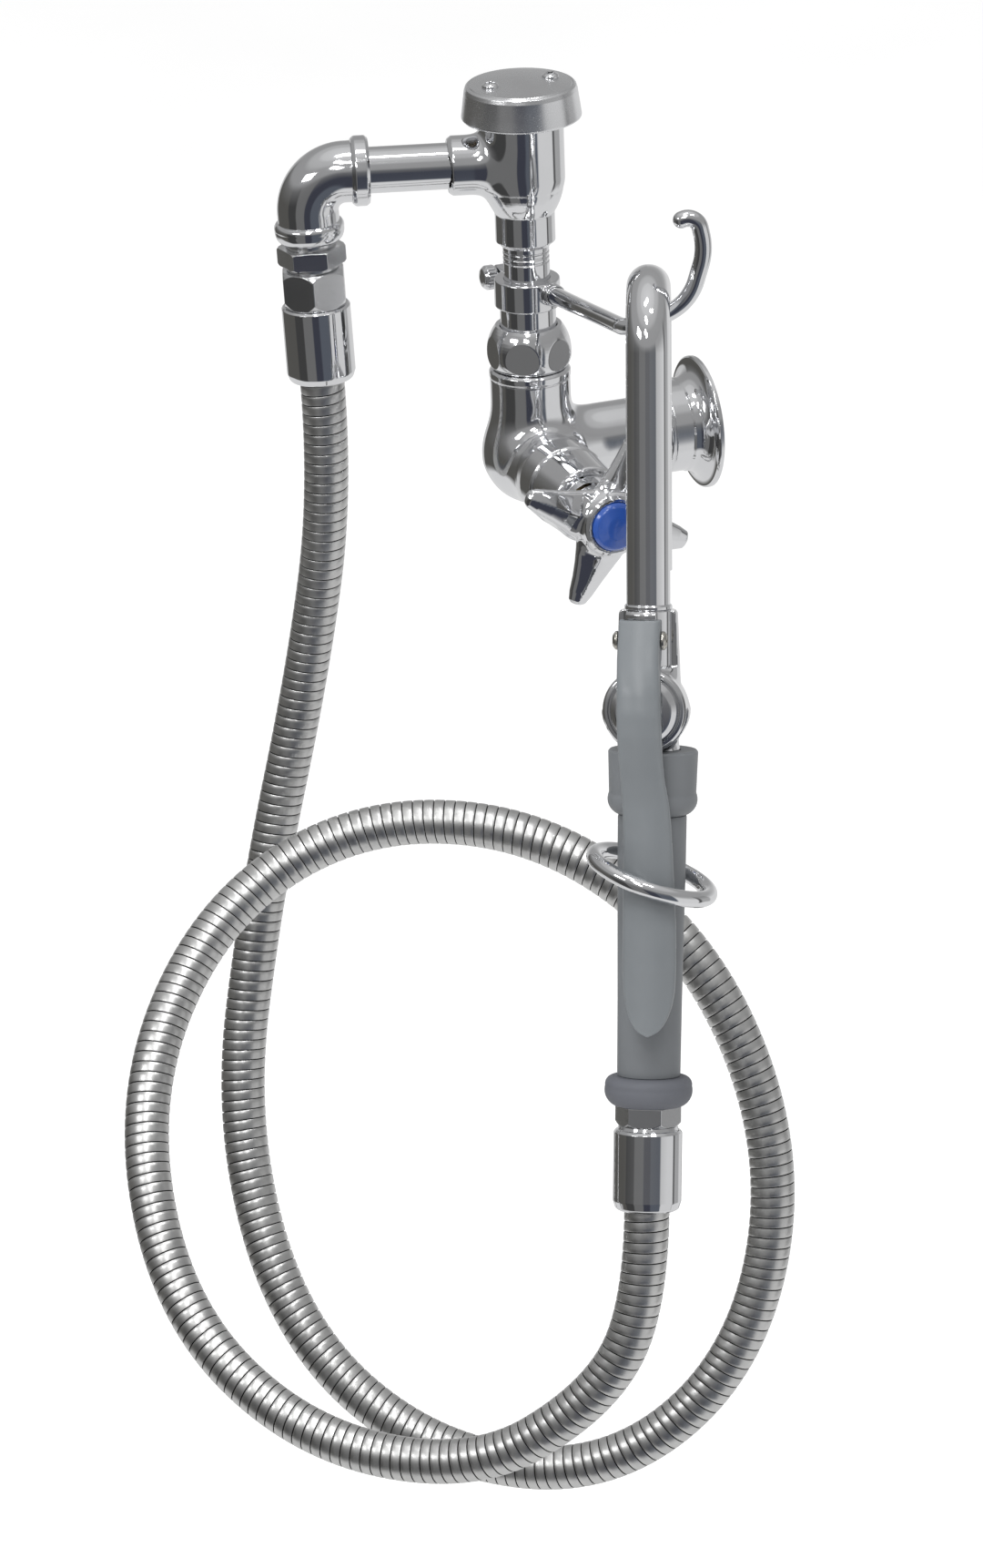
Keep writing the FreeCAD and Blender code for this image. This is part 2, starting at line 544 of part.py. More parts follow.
noz = bent_tube(NOZ_R).cut(bent_tube(NOZ_RI))
noz = noz.fuse(hring(NOZ_R + 0.9, NOZ_R - 0.4, 112.6, 115.0)).removeSplitter()
noz.rotate(V(0, 0, 0), V(0, 0, 1), U_DEG)
keep("hook_nozzle", at_hand(noz))

LOW_ORG_L = V(0, 4.96, 0)            # the lower axis, in the handset's own frame
LOW_Z_L = unit(V(0, 0.0168, 1))

# spray valve body: yoke at the top, cross bore in the middle, neck below
vbody = hlathe([(NOZ_R + 0.02, 115.2), (12.2, 115.2), (13.2, 116.4), (14.3, 146.0), (13.4, 176.0), (0, 178.0),
                (0, 126.2), (NOZ_R + 0.02, 126.2)])
drum = cross([(0, -13.0), (12.0, -13.0), (16.6, -9.0), (19.3, 3.0), (19.7, 12.4), (0, 12.4)], VALVE_S)
drum = drum.common(place(hexa(36.2, -14.0, 12.4, 30.0), V(0, 0, -VALVE_S - 2.6), V(1, 0, 0), V(0, 0, 1)))
drum = drum.common(box(-30, 30, -30, 30, -177.25, -130))
vbody = vbody.fuse(drum)
vbody = vbody.cut(cross([(0, 12.4), (21.0, 12.4), (21.0, 30.0), (0, 30.0)], VALVE_S))
for sy in (-1, 1):          # flats beside the pivot lug, for the lever's cheeks
    y0, y1 = sorted((PIV_Y + sy * 7.0, PIV_Y + sy * 22.0))
    vbody = vbody.cut(box(3.5, 30.0, y0, y1, -140.2, -110.0).cut(cyl(11.1, -141, -109)))
lug = box(3.0, 13.8, PIV_Y - 7.0, PIV_Y + 7.0, -134.5, -119.5)
lug = lug.fuse(place(cyl(4.3, -7.0, 7.0), V(PIVOT_X, PIV_Y, -PIVOT_S), V(0, 1, 0)))
lug = lug.cut(place(cyl(NOZ_R + 0.02, 110, 126.2), V(0, 0, 0), V(0, 0, -1)))
vbody = vbody.fuse(lug).removeSplitter()
vbody = vbody.cut(cross([(0, -10.5), (11.0, -10.5), (11.0, 12.6), (0, 12.6)], VALVE_S))
vbody = vbody.cut(place(cyl(4.2, 124, 156), V(4.0, 0, 0), V(0, 0, -1)))
vbody = vbody.cut(place(cyl(4.0, 162, 185), V(-6.2, 0, 0), V(0, 0, -1)))
neck = place(hlathe([(0, 172.0), (10.8, 172.0), (12.0, 177.4), (12.0, 196.0), (0, 196.0)]), LOW_ORG_L, LOW_Z_L, V(1, 0, 0))
vbody = vbody.fuse(neck.cut(place(cyl(4.0, 162, 185), V(-6.2, 0, 0), V(0, 0, -1))).cut(
    place(cyl(4.2, 124, 156), V(4.0, 0, 0), V(0, 0, -1))).cut(cross([(0, -10.5), (11.0, -10.5), (11.0, 12.6), (0, 12.6)], VALVE_S)))
vbody = vbody.removeSplitter()
vbody = vbody.cut(place(hlathe([(0, 182.0), (7.4, 182.0), (7.4, 188.0), (9.0, 188.0), (9.0, 197.0), (0, 197.0)]), LOW_ORG_L, LOW_Z_L, V(1, 0, 0)))
vbody = vbody.cut(place(cyl(2.5, -9.0, 9.0), V(PIVOT_X, PIV_Y, -PIVOT_S), V(0, 1, 0)))
keep("spray_valve_body", at_hand(vbody))
keep("valve_seat", at_hand(cross([(5.4, -2.0), (10.9, -2.0), (10.9, 1.5), (5.4, 1.5)], VALVE_S)))
keep("valve_cap", at_hand(cross([
    (3.06, 8.0), (10.9, 8.0), (10.9, 12.45), (18.75, 12.45), (18.75, 16.4), (17.8, 17.6), (16.4, 17.9), (16.0, 17.2),
    (15.2, 17.2), (14.8, 19.6), (12.6, 21.6), (8.2, 22.0), (7.0, 24.6), (4.3, 25.4), (3.06, 25.4)], VALVE_S)))
keep("plunger", at_hand(cross([
    (0, -5.6), (3.4, -5.6), (3.4, -4.9), (8.2, -4.9), (8.2, -3.9), (3.0, -3.9), (3.0, 10.4), (2.3, 10.6), (2.3, 12.4),
    (3.0, 12.6), (3.0, 32.1), (2.2, 33.4, 2.8, 33.1), (0, 33.5)], VALVE_S)))
keep("valve_washer", at_hand(cross([(3.05, -3.85), (8.0, -3.85), (8.0, -2.1), (3.05, -2.1)], VALVE_S)))
keep("plunger_o_ring", at_hand(place(Part.makeTorus(2.66, 0.34), V(11.5, 0, -VALVE_S), V(1, 0, 0))))
turns = []
for k in range(48 + 1):
    a = math.radians(22.5 * k)
    turns.append(V(5.0 * math.cos(a), 5.0 * math.sin(a), 1.5 * k / 16.0))
coil = Part.BSplineCurve()
coil.interpolate(turns)
side = coil.tangent(coil.FirstParameter)[0].cross(V(1, 0, 0))
side.normalize()
wire = [turns[0] + V(0.42 * i, 0, 0) + side * (0.42 * j) for i, j in ((-1, -1), (1, -1), (1, 1), (-1, 1), (-1, -1))]
spr = Part.Wire(coil.toShape()).makePipeShell([Part.makePolygon(wire)], True, True)
keep("valve_spring", at_hand(place(spr, V(-9.95, 0, -VALVE_S), V(1, 0, 0), V(0, 0, 1))))

screws = []
for sy in (-1, 1):
    s = lathe([(0, 2.0), (2.5, 2.0), (2.5, 9.7), (4.3, 9.7), (3.9, 11.4, 4.3, 10.7), (0.4, 12.6, 2.3, 12.3), (0, 12.6)])
    screws.append(at_hand(place(s, V(PIVOT_X, PIV_Y, -PIVOT_S), V(0, sy, 0), V(0, 0, 1))))
NODES["pivot_screws"] = Part.makeCompound(screws)

# squeeze lever: a channel, bowed forwards over the valve, open to the grip
LEVER = [  # station, crown, fall of the crown at the sides, inner edge, half width, sideways offset
    (118.4, 18.8, 2.2, 10.4, 9.4, -2.05), (123.0, 21.4, 2.3, 10.4, 9.4, -2.05), (129.0, 24.6, 2.4, 10.4, 9.4, -2.05),
    (134.5, 27.8, 2.5, 12.4, 9.4, -1.95), (140.0, 30.9, 2.6, 20.5, 9.5, -1.6), (148.0, 34.4, 2.7, 25.0, 9.7, -1.0),
    (158.6, 36.4, 2.8, 28.0, 9.9, -0.8), (169.0, 35.6, 2.8, 28.0, 9.9, -0.6), (179.0, 33.1, 2.8, 27.0, 9.9, -0.3),
    (189.0, 30.4, 2.9, 25.0, 10.0, 0.3), (199.0, 28.7, 3.2, 23.2, 10.6, 1.4), (210.0, 28.0, 3.9, 21.7, 10.9, 1.9),
    (222.0, 28.1, 4.6, 20.9, 11.2, 2.1), (236.0, 28.6, 5.2, 21.0, 11.6, 2.4), (256.0, 29.7, 5.2, 22.0, 12.1, 2.8),
    (280.0, 31.0, 5.2, 23.4, 12.2, 2.8), (304.0, 32.3, 5.2, 24.9, 12.2, 2.8)]
LEVER_TIP = [(100.0, 15.0), (256.0, 15.0), (268.0, 13.2), (276.0, 12.3), (284.0, 11.5), (290.0, 10.3), (295.0, 8.6), (299.0, 6.4), (301.5, 4.0), (303.0, 0.0)]
TIP_SIDE = 2.7


def lever_section(s, f, sag, edge, w, c, skin):
    """Closed outline of the channel (skin > 0: the room inside it)."""
    f, w = f - skin, w - skin
    low = edge if skin == 0 else -5.0
    z = -s
    a, m, b = V(f - sag, c - w, z), V(f, c, z), V(f - sag, c + w, z)
    e = [Part.Arc(a, m, b).toShape(), Part.LineSegment(b, V(low, c + w, z)).toShape(),
         Part.LineSegment(V(low, c + w, z), V(low, c - w, z)).toShape(), Part.LineSegment(V(low, c - w, z), a).toShape()]
    return Part.Wire(e)


def front_plate(halves, inset, x0, x1):
    pts = [V(x0, TIP_SIDE + max(h - inset, 0.0), -s) for s, h in halves]
    pts += [V(x0, TIP_SIDE - (h - inset), -s) for s, h in reversed(halves) if h - inset > 0.0]
    pts.append(pts[0])
    return Part.Face(Part.makePolygon(pts)).extrude(V(x1 - x0, 0, 0))


shell = Part.makeLoft([lever_section(*row, 0) for row in LEVER], True, True)
shell = shell.common(front_plate([(s, h + (4.0 if s < 258 else 0.0)) for s, h in LEVER_TIP], 0.0, 0.0, 45.0))
ext = [(117.6,) + LEVER[0][1:]] + LEVER[1:]
room = Part.makeLoft([lever_section(*row, LEVER_SKIN) for row in ext], True, True)
room = room.common(front_plate([(s if s < 258 else 258 + (s - 258) * 0.952, h + (4.0 if s < 258 else 0.0)) for s, h in LEVER_TIP], 1.9, -10.0, 45.0))
lever = shell.cut(room)
lever = lever.cut(place(cyl(2.56, -12, 12), V(PIVOT_X, 0, -PIVOT_S), V(0, 1, 0)))
keep("squeeze_lever", at_hand(lever))

# grip column below the valve
keep("guard_collar", at_low(hlathe([
    (12.35, 177.6), (19.4, 177.6), (20.1, 178.6), (19.5, 197.0), (15.2, 206.9, 18.6, 204.4), (13.2, 206.9), (13.2, 199.9),
    (12.35, 199.9)])))
keep("handle_tube", at_low(hring(8.9, 7.2, 188.2, 346.8)))
keep("grip", at_low(hlathe([(9.2, 199.95), (13.1, 199.95), (13.1, 207.0), (15.4, 207.0), (15.3, 228.0),
                             (14.45, 290.0), (14.2, 324.6), (9.2, 324.6)])))
keep("bumper_ring", at_low(hlathe([(9.2, 324.7), (15.4, 324.7), (19.5, 329.2, 18.6, 326.0), (15.4, 338.2, 18.6, 335.2), (9.2, 338.2)])))
nut2 = hexa(25.9, -347.2, -338.3, 30.0).common(hlathe([(0, 338.3), (15.1, 338.3), (15.1, 345.4), (13.2, 347.2), (0, 347.2)]))
keep("lower_hex_nut", at_low(nut2.cut(cyl(8.95, -348, -338))))
keep("lower_hose_washer", at_low(hring(8.8, 6.6, 347.2, 349.2)))
keep("lower_ferrule", at_low(hlathe([
    (7.0, 349.2), (8.9, 349.2), (8.9, 347.25), (13.4, 347.25), (13.8, 348.6), (15.4, 350.0), (15.4, 381.6), (14.4, 384.4, 15.1, 383.6),
    (12.6, 385.65, 13.8, 385.35), (7.0, 385.65)])))

# hold-down ring, round the grip and the lever, hanging askew
rg = Part.makeTorus(RING_R, RING_WIRE)
rg.rotate(V(0, 0, 0), V(0, 1, 0), RING_PITCH)
rg.rotate(V(0, 0, 0), V(1, 0, 0), -RING_ROLL)
rg.translate(V(RING_F, RING_SIDE, -RING_S))
keep("hold_down_ring", at_hand(rg))

for name, shape in NODES.items():
    if not shape.isValid():
        print("INVALID", name)
    if len(shape.Solids) != 1 and name not in ("hood_screws", "pivot_screws"):
        print("SOLIDS", name, len(shape.Solids))
    shape.exportStep("parts/%s.step" % name)
print(len(NODES), "nodes")
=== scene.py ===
import bpy
import bmesh
import math
import numpy as np
from mathutils import Matrix, Vector


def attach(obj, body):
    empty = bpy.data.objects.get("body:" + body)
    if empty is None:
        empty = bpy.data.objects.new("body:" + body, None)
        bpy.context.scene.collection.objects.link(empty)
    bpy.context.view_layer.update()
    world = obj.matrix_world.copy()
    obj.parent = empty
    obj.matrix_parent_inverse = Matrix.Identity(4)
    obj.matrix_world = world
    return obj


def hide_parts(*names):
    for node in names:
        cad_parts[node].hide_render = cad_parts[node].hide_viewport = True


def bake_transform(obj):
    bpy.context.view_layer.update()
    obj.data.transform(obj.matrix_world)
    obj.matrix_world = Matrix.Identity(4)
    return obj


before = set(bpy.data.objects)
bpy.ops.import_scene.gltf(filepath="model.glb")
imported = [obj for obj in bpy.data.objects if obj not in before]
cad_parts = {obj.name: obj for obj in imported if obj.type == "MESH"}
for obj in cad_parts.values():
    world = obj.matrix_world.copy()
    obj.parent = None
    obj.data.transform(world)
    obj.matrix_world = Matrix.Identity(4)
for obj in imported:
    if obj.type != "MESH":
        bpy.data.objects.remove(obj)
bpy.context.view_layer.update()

MM = 0.001


# ============================================================ small geometry
def unit(v):
    v = np.array(v, float)
    return v / np.linalg.norm(v)


class Place:
    """A local frame, in millimetres: its own Z runs along z, its X near x."""

    def __init__(self, org, z, x=None):
        z = unit(z)
        if x is None:
            x = (0, 0, 1) if abs(z[2]) < 0.9 else (1, 0, 0)
        x = np.array(x, float)
        x = unit(x - z * (x @ z))
        self.o = np.array(org, float)
        self.R = np.column_stack([x, np.cross(z, x), z])

    def out(self, p):
        return np.asarray(p) @ self.R.T + self.o

    def turn(self, v):
        return np.asarray(v) @ self.R.T

    def inn(self, p):
        return (np.asarray(p) - self.o) @ self.R


RISER_Y, STEM_Z = -83.1, -4.8
WALL = Place((0, 0, 0), (0, -1, 0), (1, 0, 0))
RISER = Place((0, RISER_Y, 0), (0, 0, 1), (1, 0, 0))
STEM = Place((0, RISER_Y, STEM_Z), (1, 0, 0), (0, 1, 0))
PORT_DIR = unit((-0.2823, -0.9593, 0.0))
PORT_ORG = np.array((0, RISER_Y, 137.5))
PORT = Place(PORT_ORG, PORT_DIR, (0, 0, 1))
CORNER = PORT_ORG + PORT_DIR * 99.6
TILT = math.radians(2.4)
LEG_DIR = unit(PORT_DIR * -math.sin(TILT) + np.array((0, 0, -math.cos(TILT))))
LEG = Place(CORNER, LEG_DIR, (0.342, 0.9397, 0))
HS_ORG = np.array((155.138, -84.461, 94.093))
HZ = unit((-0.2200, 0.1120, 0.9690))
HAND = Place(HS_ORG, HZ, (0.8530, -0.4590, 0.2460))
HX, HY = HAND.R[:, 0], HAND.R[:, 1]
HU = np.array((0.8980, -0.3650, 0.2460))
HU = unit(HU - HZ * (HU @ HZ))
PIVOT_X, PIVOT_S, VALVE_S = 14.0, 127.6, 158.6
DOWN = Place(HS_ORG, -HZ, HX)                 # handset frame with Z downwards
CROSS = Place(HS_ORG - HZ * VALVE_S, HX, HZ)  # axis of the spray valve
LOW_ORG = HS_ORG + HY * 4.96                  # axis of the grip and all below it
LOW_Z = unit(HZ + HY * 0.0168)
LOW = Place(LOW_ORG, -LOW_Z, HX)
PIV_Y = -2.05


def arc3(a, m, b, n=8):
    """Points of the arc a-m-b after a, b included, in the (r, z) plane."""
    (x1, y1), (x2, y2), (x3, y3) = a, m, b
    d = 2 * (x1 * (y2 - y3) + x2 * (y3 - y1) + x3 * (y1 - y2))
    if abs(d) < 1e-9:
        return [b]
    s1, s2, s3 = x1 * x1 + y1 * y1, x2 * x2 + y2 * y2, x3 * x3 + y3 * y3
    cx = (s1 * (y2 - y3) + s2 * (y3 - y1) + s3 * (y1 - y2)) / d
    cy = (s1 * (x3 - x2) + s2 * (x1 - x3) + s3 * (x2 - x1)) / d
    a0, am, a1 = (math.atan2(q - cy, p - cx) for p, q in (a, m, b))
    r = math.hypot(x1 - cx, y1 - cy)
    span = (a1 - a0) % (2 * math.pi)
    if (am - a0) % (2 * math.pi) > span:
        span -= 2 * math.pi
    return [(cx + r * math.cos(a0 + span * k / n), cy + r * math.sin(a0 + span * k / n)) for k in range(1, n + 1)]


def profile(items, soft=0.25, closed=None):
    """Rows (r, z, nr, nz) of a rounded outline. Items are (r, z), (r, z, fillet)
    or (r, z, rm, zm) for an arc through (rm, zm)."""
    pts, rad = [], []
    for it in items:
        if len(it) == 4:
            for q in arc3(pts[-1], (it[2], it[3]), (it[0], it[1]), 10):
                pts.append(q)
                rad.append(None)
        else:
            pts.append((float(it[0]), float(it[1])))
            rad.append(it[2] if len(it) == 3 else soft)
    if closed is None:
        closed = not (pts[0][0] < 1e-6 and pts[-1][0] < 1e-6)
    keep = [k for k in range(len(pts)) if k == 0 or math.dist(pts[k], pts[k - 1]) > 1e-6]
    pts, rad = [pts[k] for k in keep], [rad[k] for k in keep]
    if closed and math.dist(pts[0], pts[-1]) < 1e-6:
        pts, rad = pts[:-1], rad[:-1]
    n = len(pts)
    area = sum(pts[k][0] * pts[(k + 1) % n][1] - pts[(k + 1) % n][0] * pts[k][1] for k in range(n))
    side = 1.0 if area > 0 else -1.0
    rows = []
    for k in range(n):
        p = np.array(pts[k])
        if not closed and k in (0, n - 1):
            q = np.array(pts[1 if k == 0 else n - 2])
            d = (q - p) if k == 0 else (p - q)
            d /= np.linalg.norm(d)
            rows.append((p[0], p[1], side * d[1], -side * d[0]))
            continue
        a, b = np.array(pts[k - 1]), np.array(pts[(k + 1) % n])
        d1, d2 = (p - a) / np.linalg.norm(p - a), (b - p) / np.linalg.norm(b - p)
        turn = math.atan2(d1[0] * d2[1] - d1[1] * d2[0], float(d1 @ d2))
        n1 = side * np.array((d1[1], -d1[0]))
        n2 = side * np.array((d2[1], -d2[0]))
        if rad[k] is None and abs(turn) < math.radians(22) or abs(turn) < math.radians(3):
            m = (n1 + n2) / np.linalg.norm(n1 + n2)
            rows.append((p[0], p[1], m[0], m[1]))
            continue
        r = 0.12 if rad[k] is None else rad[k]
        cut = min(r * abs(math.tan(turn / 2)), 0.46 * np.linalg.norm(p - a), 0.46 * np.linalg.norm(b - p))
        steps = max(2, int(math.ceil(abs(math.degrees(turn)) / 14)))
        s, e = p - d1 * cut, p + d2 * cut
        rr = cut / abs(math.tan(turn / 2))
        c = s - n1 * rr * (1 if turn * side > 0 else -1)
        for j in range(steps + 1):
            t = turn * j / steps
            nn = np.array((n1[0] * math.cos(t) - n1[1] * math.sin(t), n1[0] * math.sin(t) + n1[1] * math.cos(t)))
            q = c + nn * rr * (1 if turn * side > 0 else -1)
            rows.append((max(q[0], 0.0), q[1], nn[0], nn[1]))
    return rows, closed


# ================================================================ mesh making
def new_piece(name, verts, faces, normals=None, smooth=True, sharp=None):
    me = bpy.data.meshes.new(name)
    me.from_pydata(np.asarray(verts, float).tolist(), [], faces)
    me.validate(clean_customdata=False)
    me.update()
    ob = bpy.data.objects.new(name, me)
    bpy.context.scene.collection.objects.link(ob)
    if smooth:
        me.polygons.foreach_set("use_smooth", [True] * len(me.polygons))
        if sharp is not None:
            me.set_sharp_from_angle(angle=math.radians(sharp))
        elif normals is not None and len(normals) == len(me.vertices):
            me.normals_split_custom_set_from_vertices(np.asarray(normals, float).tolist())
    me.update()
    return ob


def signed_volume(v, faces):
    tot = 0.0
    for f in faces[:: max(1, len(faces) // 4000)]:
        a, b, c = v[f[0]], v[f[1]], v[f[2]]
        tot += float(np.dot(a, np.cross(b, c)))
    return tot


def transport(T, first):
    """Normals carried along unit tangents T without twist."""
    N = np.zeros_like(T)
    n = first - T[0] * (first @ T[0])
    N[0] = n / np.linalg.norm(n)
    for k in range(1, len(T)):
        n = N[k - 1] - T[k] * (N[k - 1] @ T[k])
        N[k] = n / np.linalg.norm(n)
    return N


class Path:
    """Straight runs joined by tangent arcs, as a function of arc length."""

    def __init__(self, pts, radii):
        pts = [np.array(p, float) for p in pts]
        self.parts, last, s = [], pts[0], 0.0
        for i in range(1, len(pts) - 1):
            a, b, c = pts[i - 1], pts[i], pts[i + 1]
            d1, d2 = unit(b - a), unit(c - b)
            half = math.acos(max(-1, min(1, d1 @ d2))) / 2
            cut = radii[i - 1] * math.tan(half)
            p = b - d1 * cut
            L = np.linalg.norm(p - last)
            self.parts.append((s, s + L, "line", last, d1))
            s += L
            cen = b + unit(d2 - d1) * radii[i - 1] / math.cos(half)
            L = radii[i - 1] * 2 * half
            self.parts.append((s, s + L, "arc", cen, (p - cen), d1 * radii[i - 1], radii[i - 1]))
            s += L
            last = b + d2 * cut
        d = unit(pts[-1] - pts[-2])
        L = np.linalg.norm(pts[-1] - last)
        self.parts.append((s, s + L, "line", last, d))
        self.length = s + L

    def at(self, s):
        part = self.parts[0]
        for part in self.parts:
            if s <= part[1] + 1e-9:
                break
        if part[2] == "line":
            return part[3] + part[4] * (s - part[0]), part[4]
        t = (s - part[0]) / part[6]
        return part[3] + part[4] * math.cos(t) + part[5] * math.sin(t), unit(part[5] * math.cos(t) - part[4] * math.sin(t))


def turned(name, items, place=None, path=None, seg=112, soft=0.25, step=None, first=None, wobble=None, closed=None):
    """Solid of revolution about a straight axis (place), or the same wrapped
    round a bent axis (path), with exact normals."""
    rows, closed = profile(items, soft, closed)
    if step:
        more = []
        m = len(rows)
        for k in range(m if closed else m - 1):
            a, b = rows[k], rows[(k + 1) % m]
            cuts = max(1, int(abs(b[1] - a[1]) / step))
            for j in range(cuts):
                t = j / cuts
                more.append(tuple(a[i] + (b[i] - a[i]) * t for i in range(4)))
        if not closed:
            more.append(rows[-1])
        rows = more
    rows = np.array(rows)
    m = len(rows)
    th = np.linspace(0, 2 * math.pi, seg, endpoint=False)
    ct, st = np.cos(th), np.sin(th)
    if path is None:
        C = np.zeros((m, 3))
        C[:, 2] = rows[:, 1]
        N, B, T = (np.tile(v, (m, 1)) for v in np.eye(3))
    else:
        order = np.argsort(rows[:, 1], kind="stable")
        P, TT = zip(*[path.at(float(min(max(z, 0.0), path.length))) for z in rows[order, 1]])
        P, TT = np.array(P), np.array(TT)
        NN = transport(TT, np.array(first if first is not None else (0.3, 0.2, 1.0), float))
        BB = np.cross(TT, NN)
        C, T, N, B = np.zeros((m, 3)), np.zeros((m, 3)), np.zeros((m, 3)), np.zeros((m, 3))
        C[order], T[order], N[order], B[order] = P, TT, NN, BB
    rad = rows[:, 0][:, None] * np.ones(seg)
    if wobble is not None:
        rad = rad * wobble(rows, th)
    V = C[:, None, :] + rad[..., None] * (ct[None, :, None] * N[:, None, :] + st[None, :, None] * B[:, None, :])
    Nn = rows[:, 2][:, None, None] * (ct[None, :, None] * N[:, None, :] + st[None, :, None] * B[:, None, :]) + rows[:, 3][:, None, None] * T[:, None, :]
    if place is not None:
        V, Nn = place.out(V), place.turn(Nn)
    idx = np.arange(m * seg).reshape(m, seg)
    V, Nn = V.reshape(-1, 3), Nn.reshape(-1, 3)
    faces = []
    pole = rows[:, 0] < 1e-6
    for k in range(m if closed else m - 1):
        a, b = idx[k], idx[(k + 1) % m]
        if pole[k] and pole[(k + 1) % m]:
            continue
        for j in range(seg):
            j2 = (j + 1) % seg
            if pole[k]:
                faces.append((int(a[0]), int(b[j2]), int(b[j])))
            elif pole[(k + 1) % m]:
                faces.append((int(a[j]), int(a[j2]), int(b[0])))
            else:
                faces.append((int(a[j]), int(a[j2]), int(b[j2]), int(b[j])))
    used = np.zeros(len(V), bool)
    for f in faces:
        for q in f:
            used[q] = True
    remap = np.cumsum(used) - 1
    faces = [tuple(int(remap[q]) for q in f) for f in faces]
    V, Nn = V[used] * MM, Nn[used]
    if signed_volume(V - V.mean(0), faces) < 0:
        faces = [f[::-1] for f in faces]
    return new_piece(name, V, faces, Nn)


# ------------------------------------------------- signed-distance modelling
def smin(a, b, k):
    if k <= 0:
        return np.minimum(a, b)
    h = np.maximum(k - np.abs(a - b), 0.0) / k
    return np.minimum(a, b) - h * h * h * k / 6.0


def smax(a, b, k):
    return -smin(-a, -b, k)


def d_sphere(p, c, r):
    return np.linalg.norm(p - np.array(c, float), axis=1) - r


def d_rod(p, a, b, r):
    a, b = np.array(a, float), np.array(b, float)
    ab = b - a
    t = np.clip((p - a) @ ab / (ab @ ab), 0, 1)
    return np.linalg.norm(p - a - t[:, None] * ab, axis=1) - r


def d_poly(x, y, poly):
    """Signed distance to a closed polygon in the plane, negative inside."""
    d = np.full(x.shape, 1e9)
    s = np.ones(x.shape)
    n = len(poly)
    for i in range(n):
        (ax, ay), (bx, by) = poly[i], poly[i - 1]
        ex, ey = bx - ax, by - ay
        wx, wy = x - ax, y - ay
        t = np.clip((wx * ex + wy * ey) / (ex * ex + ey * ey), 0, 1)
        d = np.minimum(d, (wx - ex * t) ** 2 + (wy - ey * t) ** 2)
        c1, c2, c3 = y >= ay, y < by, ex * wy > ey * wx
        flip = (c1 & c2 & c3) | (~c1 & ~c2 & ~c3)
        s = np.where(flip, -s, s)
    return s * np.sqrt(d)


def d_turned(p, items, soft=0.5):
    """Distance to a solid of revolution about local Z."""
    rows, _ = profile(items, soft)
    poly = []
    for r, z, _, _ in rows:
        q = (-60.0 if r < 1e-6 else r, z)
        if not poly or math.dist(poly[-1], q) > 1e-5:
            poly.append(q)
    return d_poly(np.hypot(p[:, 0], p[:, 1]), p[:, 2], poly)


def d_box(p, c, half, soft=0.0):
    q = np.abs(p - np.array(c, float)) - (np.array(half, float) - soft)
    return np.linalg.norm(np.maximum(q, 0), axis=1) + np.minimum(q.max(1), 0) - soft


def d_cyl(p, r, z0, z1, soft=0.3):
    q = np.stack([np.hypot(p[:, 0], p[:, 1]) - r + soft, np.abs(p[:, 2] - (z0 + z1) / 2) - (z1 - z0) / 2 + soft], 1)
    return np.linalg.norm(np.maximum(q, 0), axis=1) + np.minimum(q.max(1), 0) - soft


def d_hex(p, af, k, turn=0.0):
    out = None
    for j in range(3):
        a = math.radians(turn + 30 + 60 * j)
        d = np.abs(p[:, 0] * math.cos(a) + p[:, 1] * math.sin(a)) - af / 2
        out = d if out is None else smax(out, d, k)
    return out


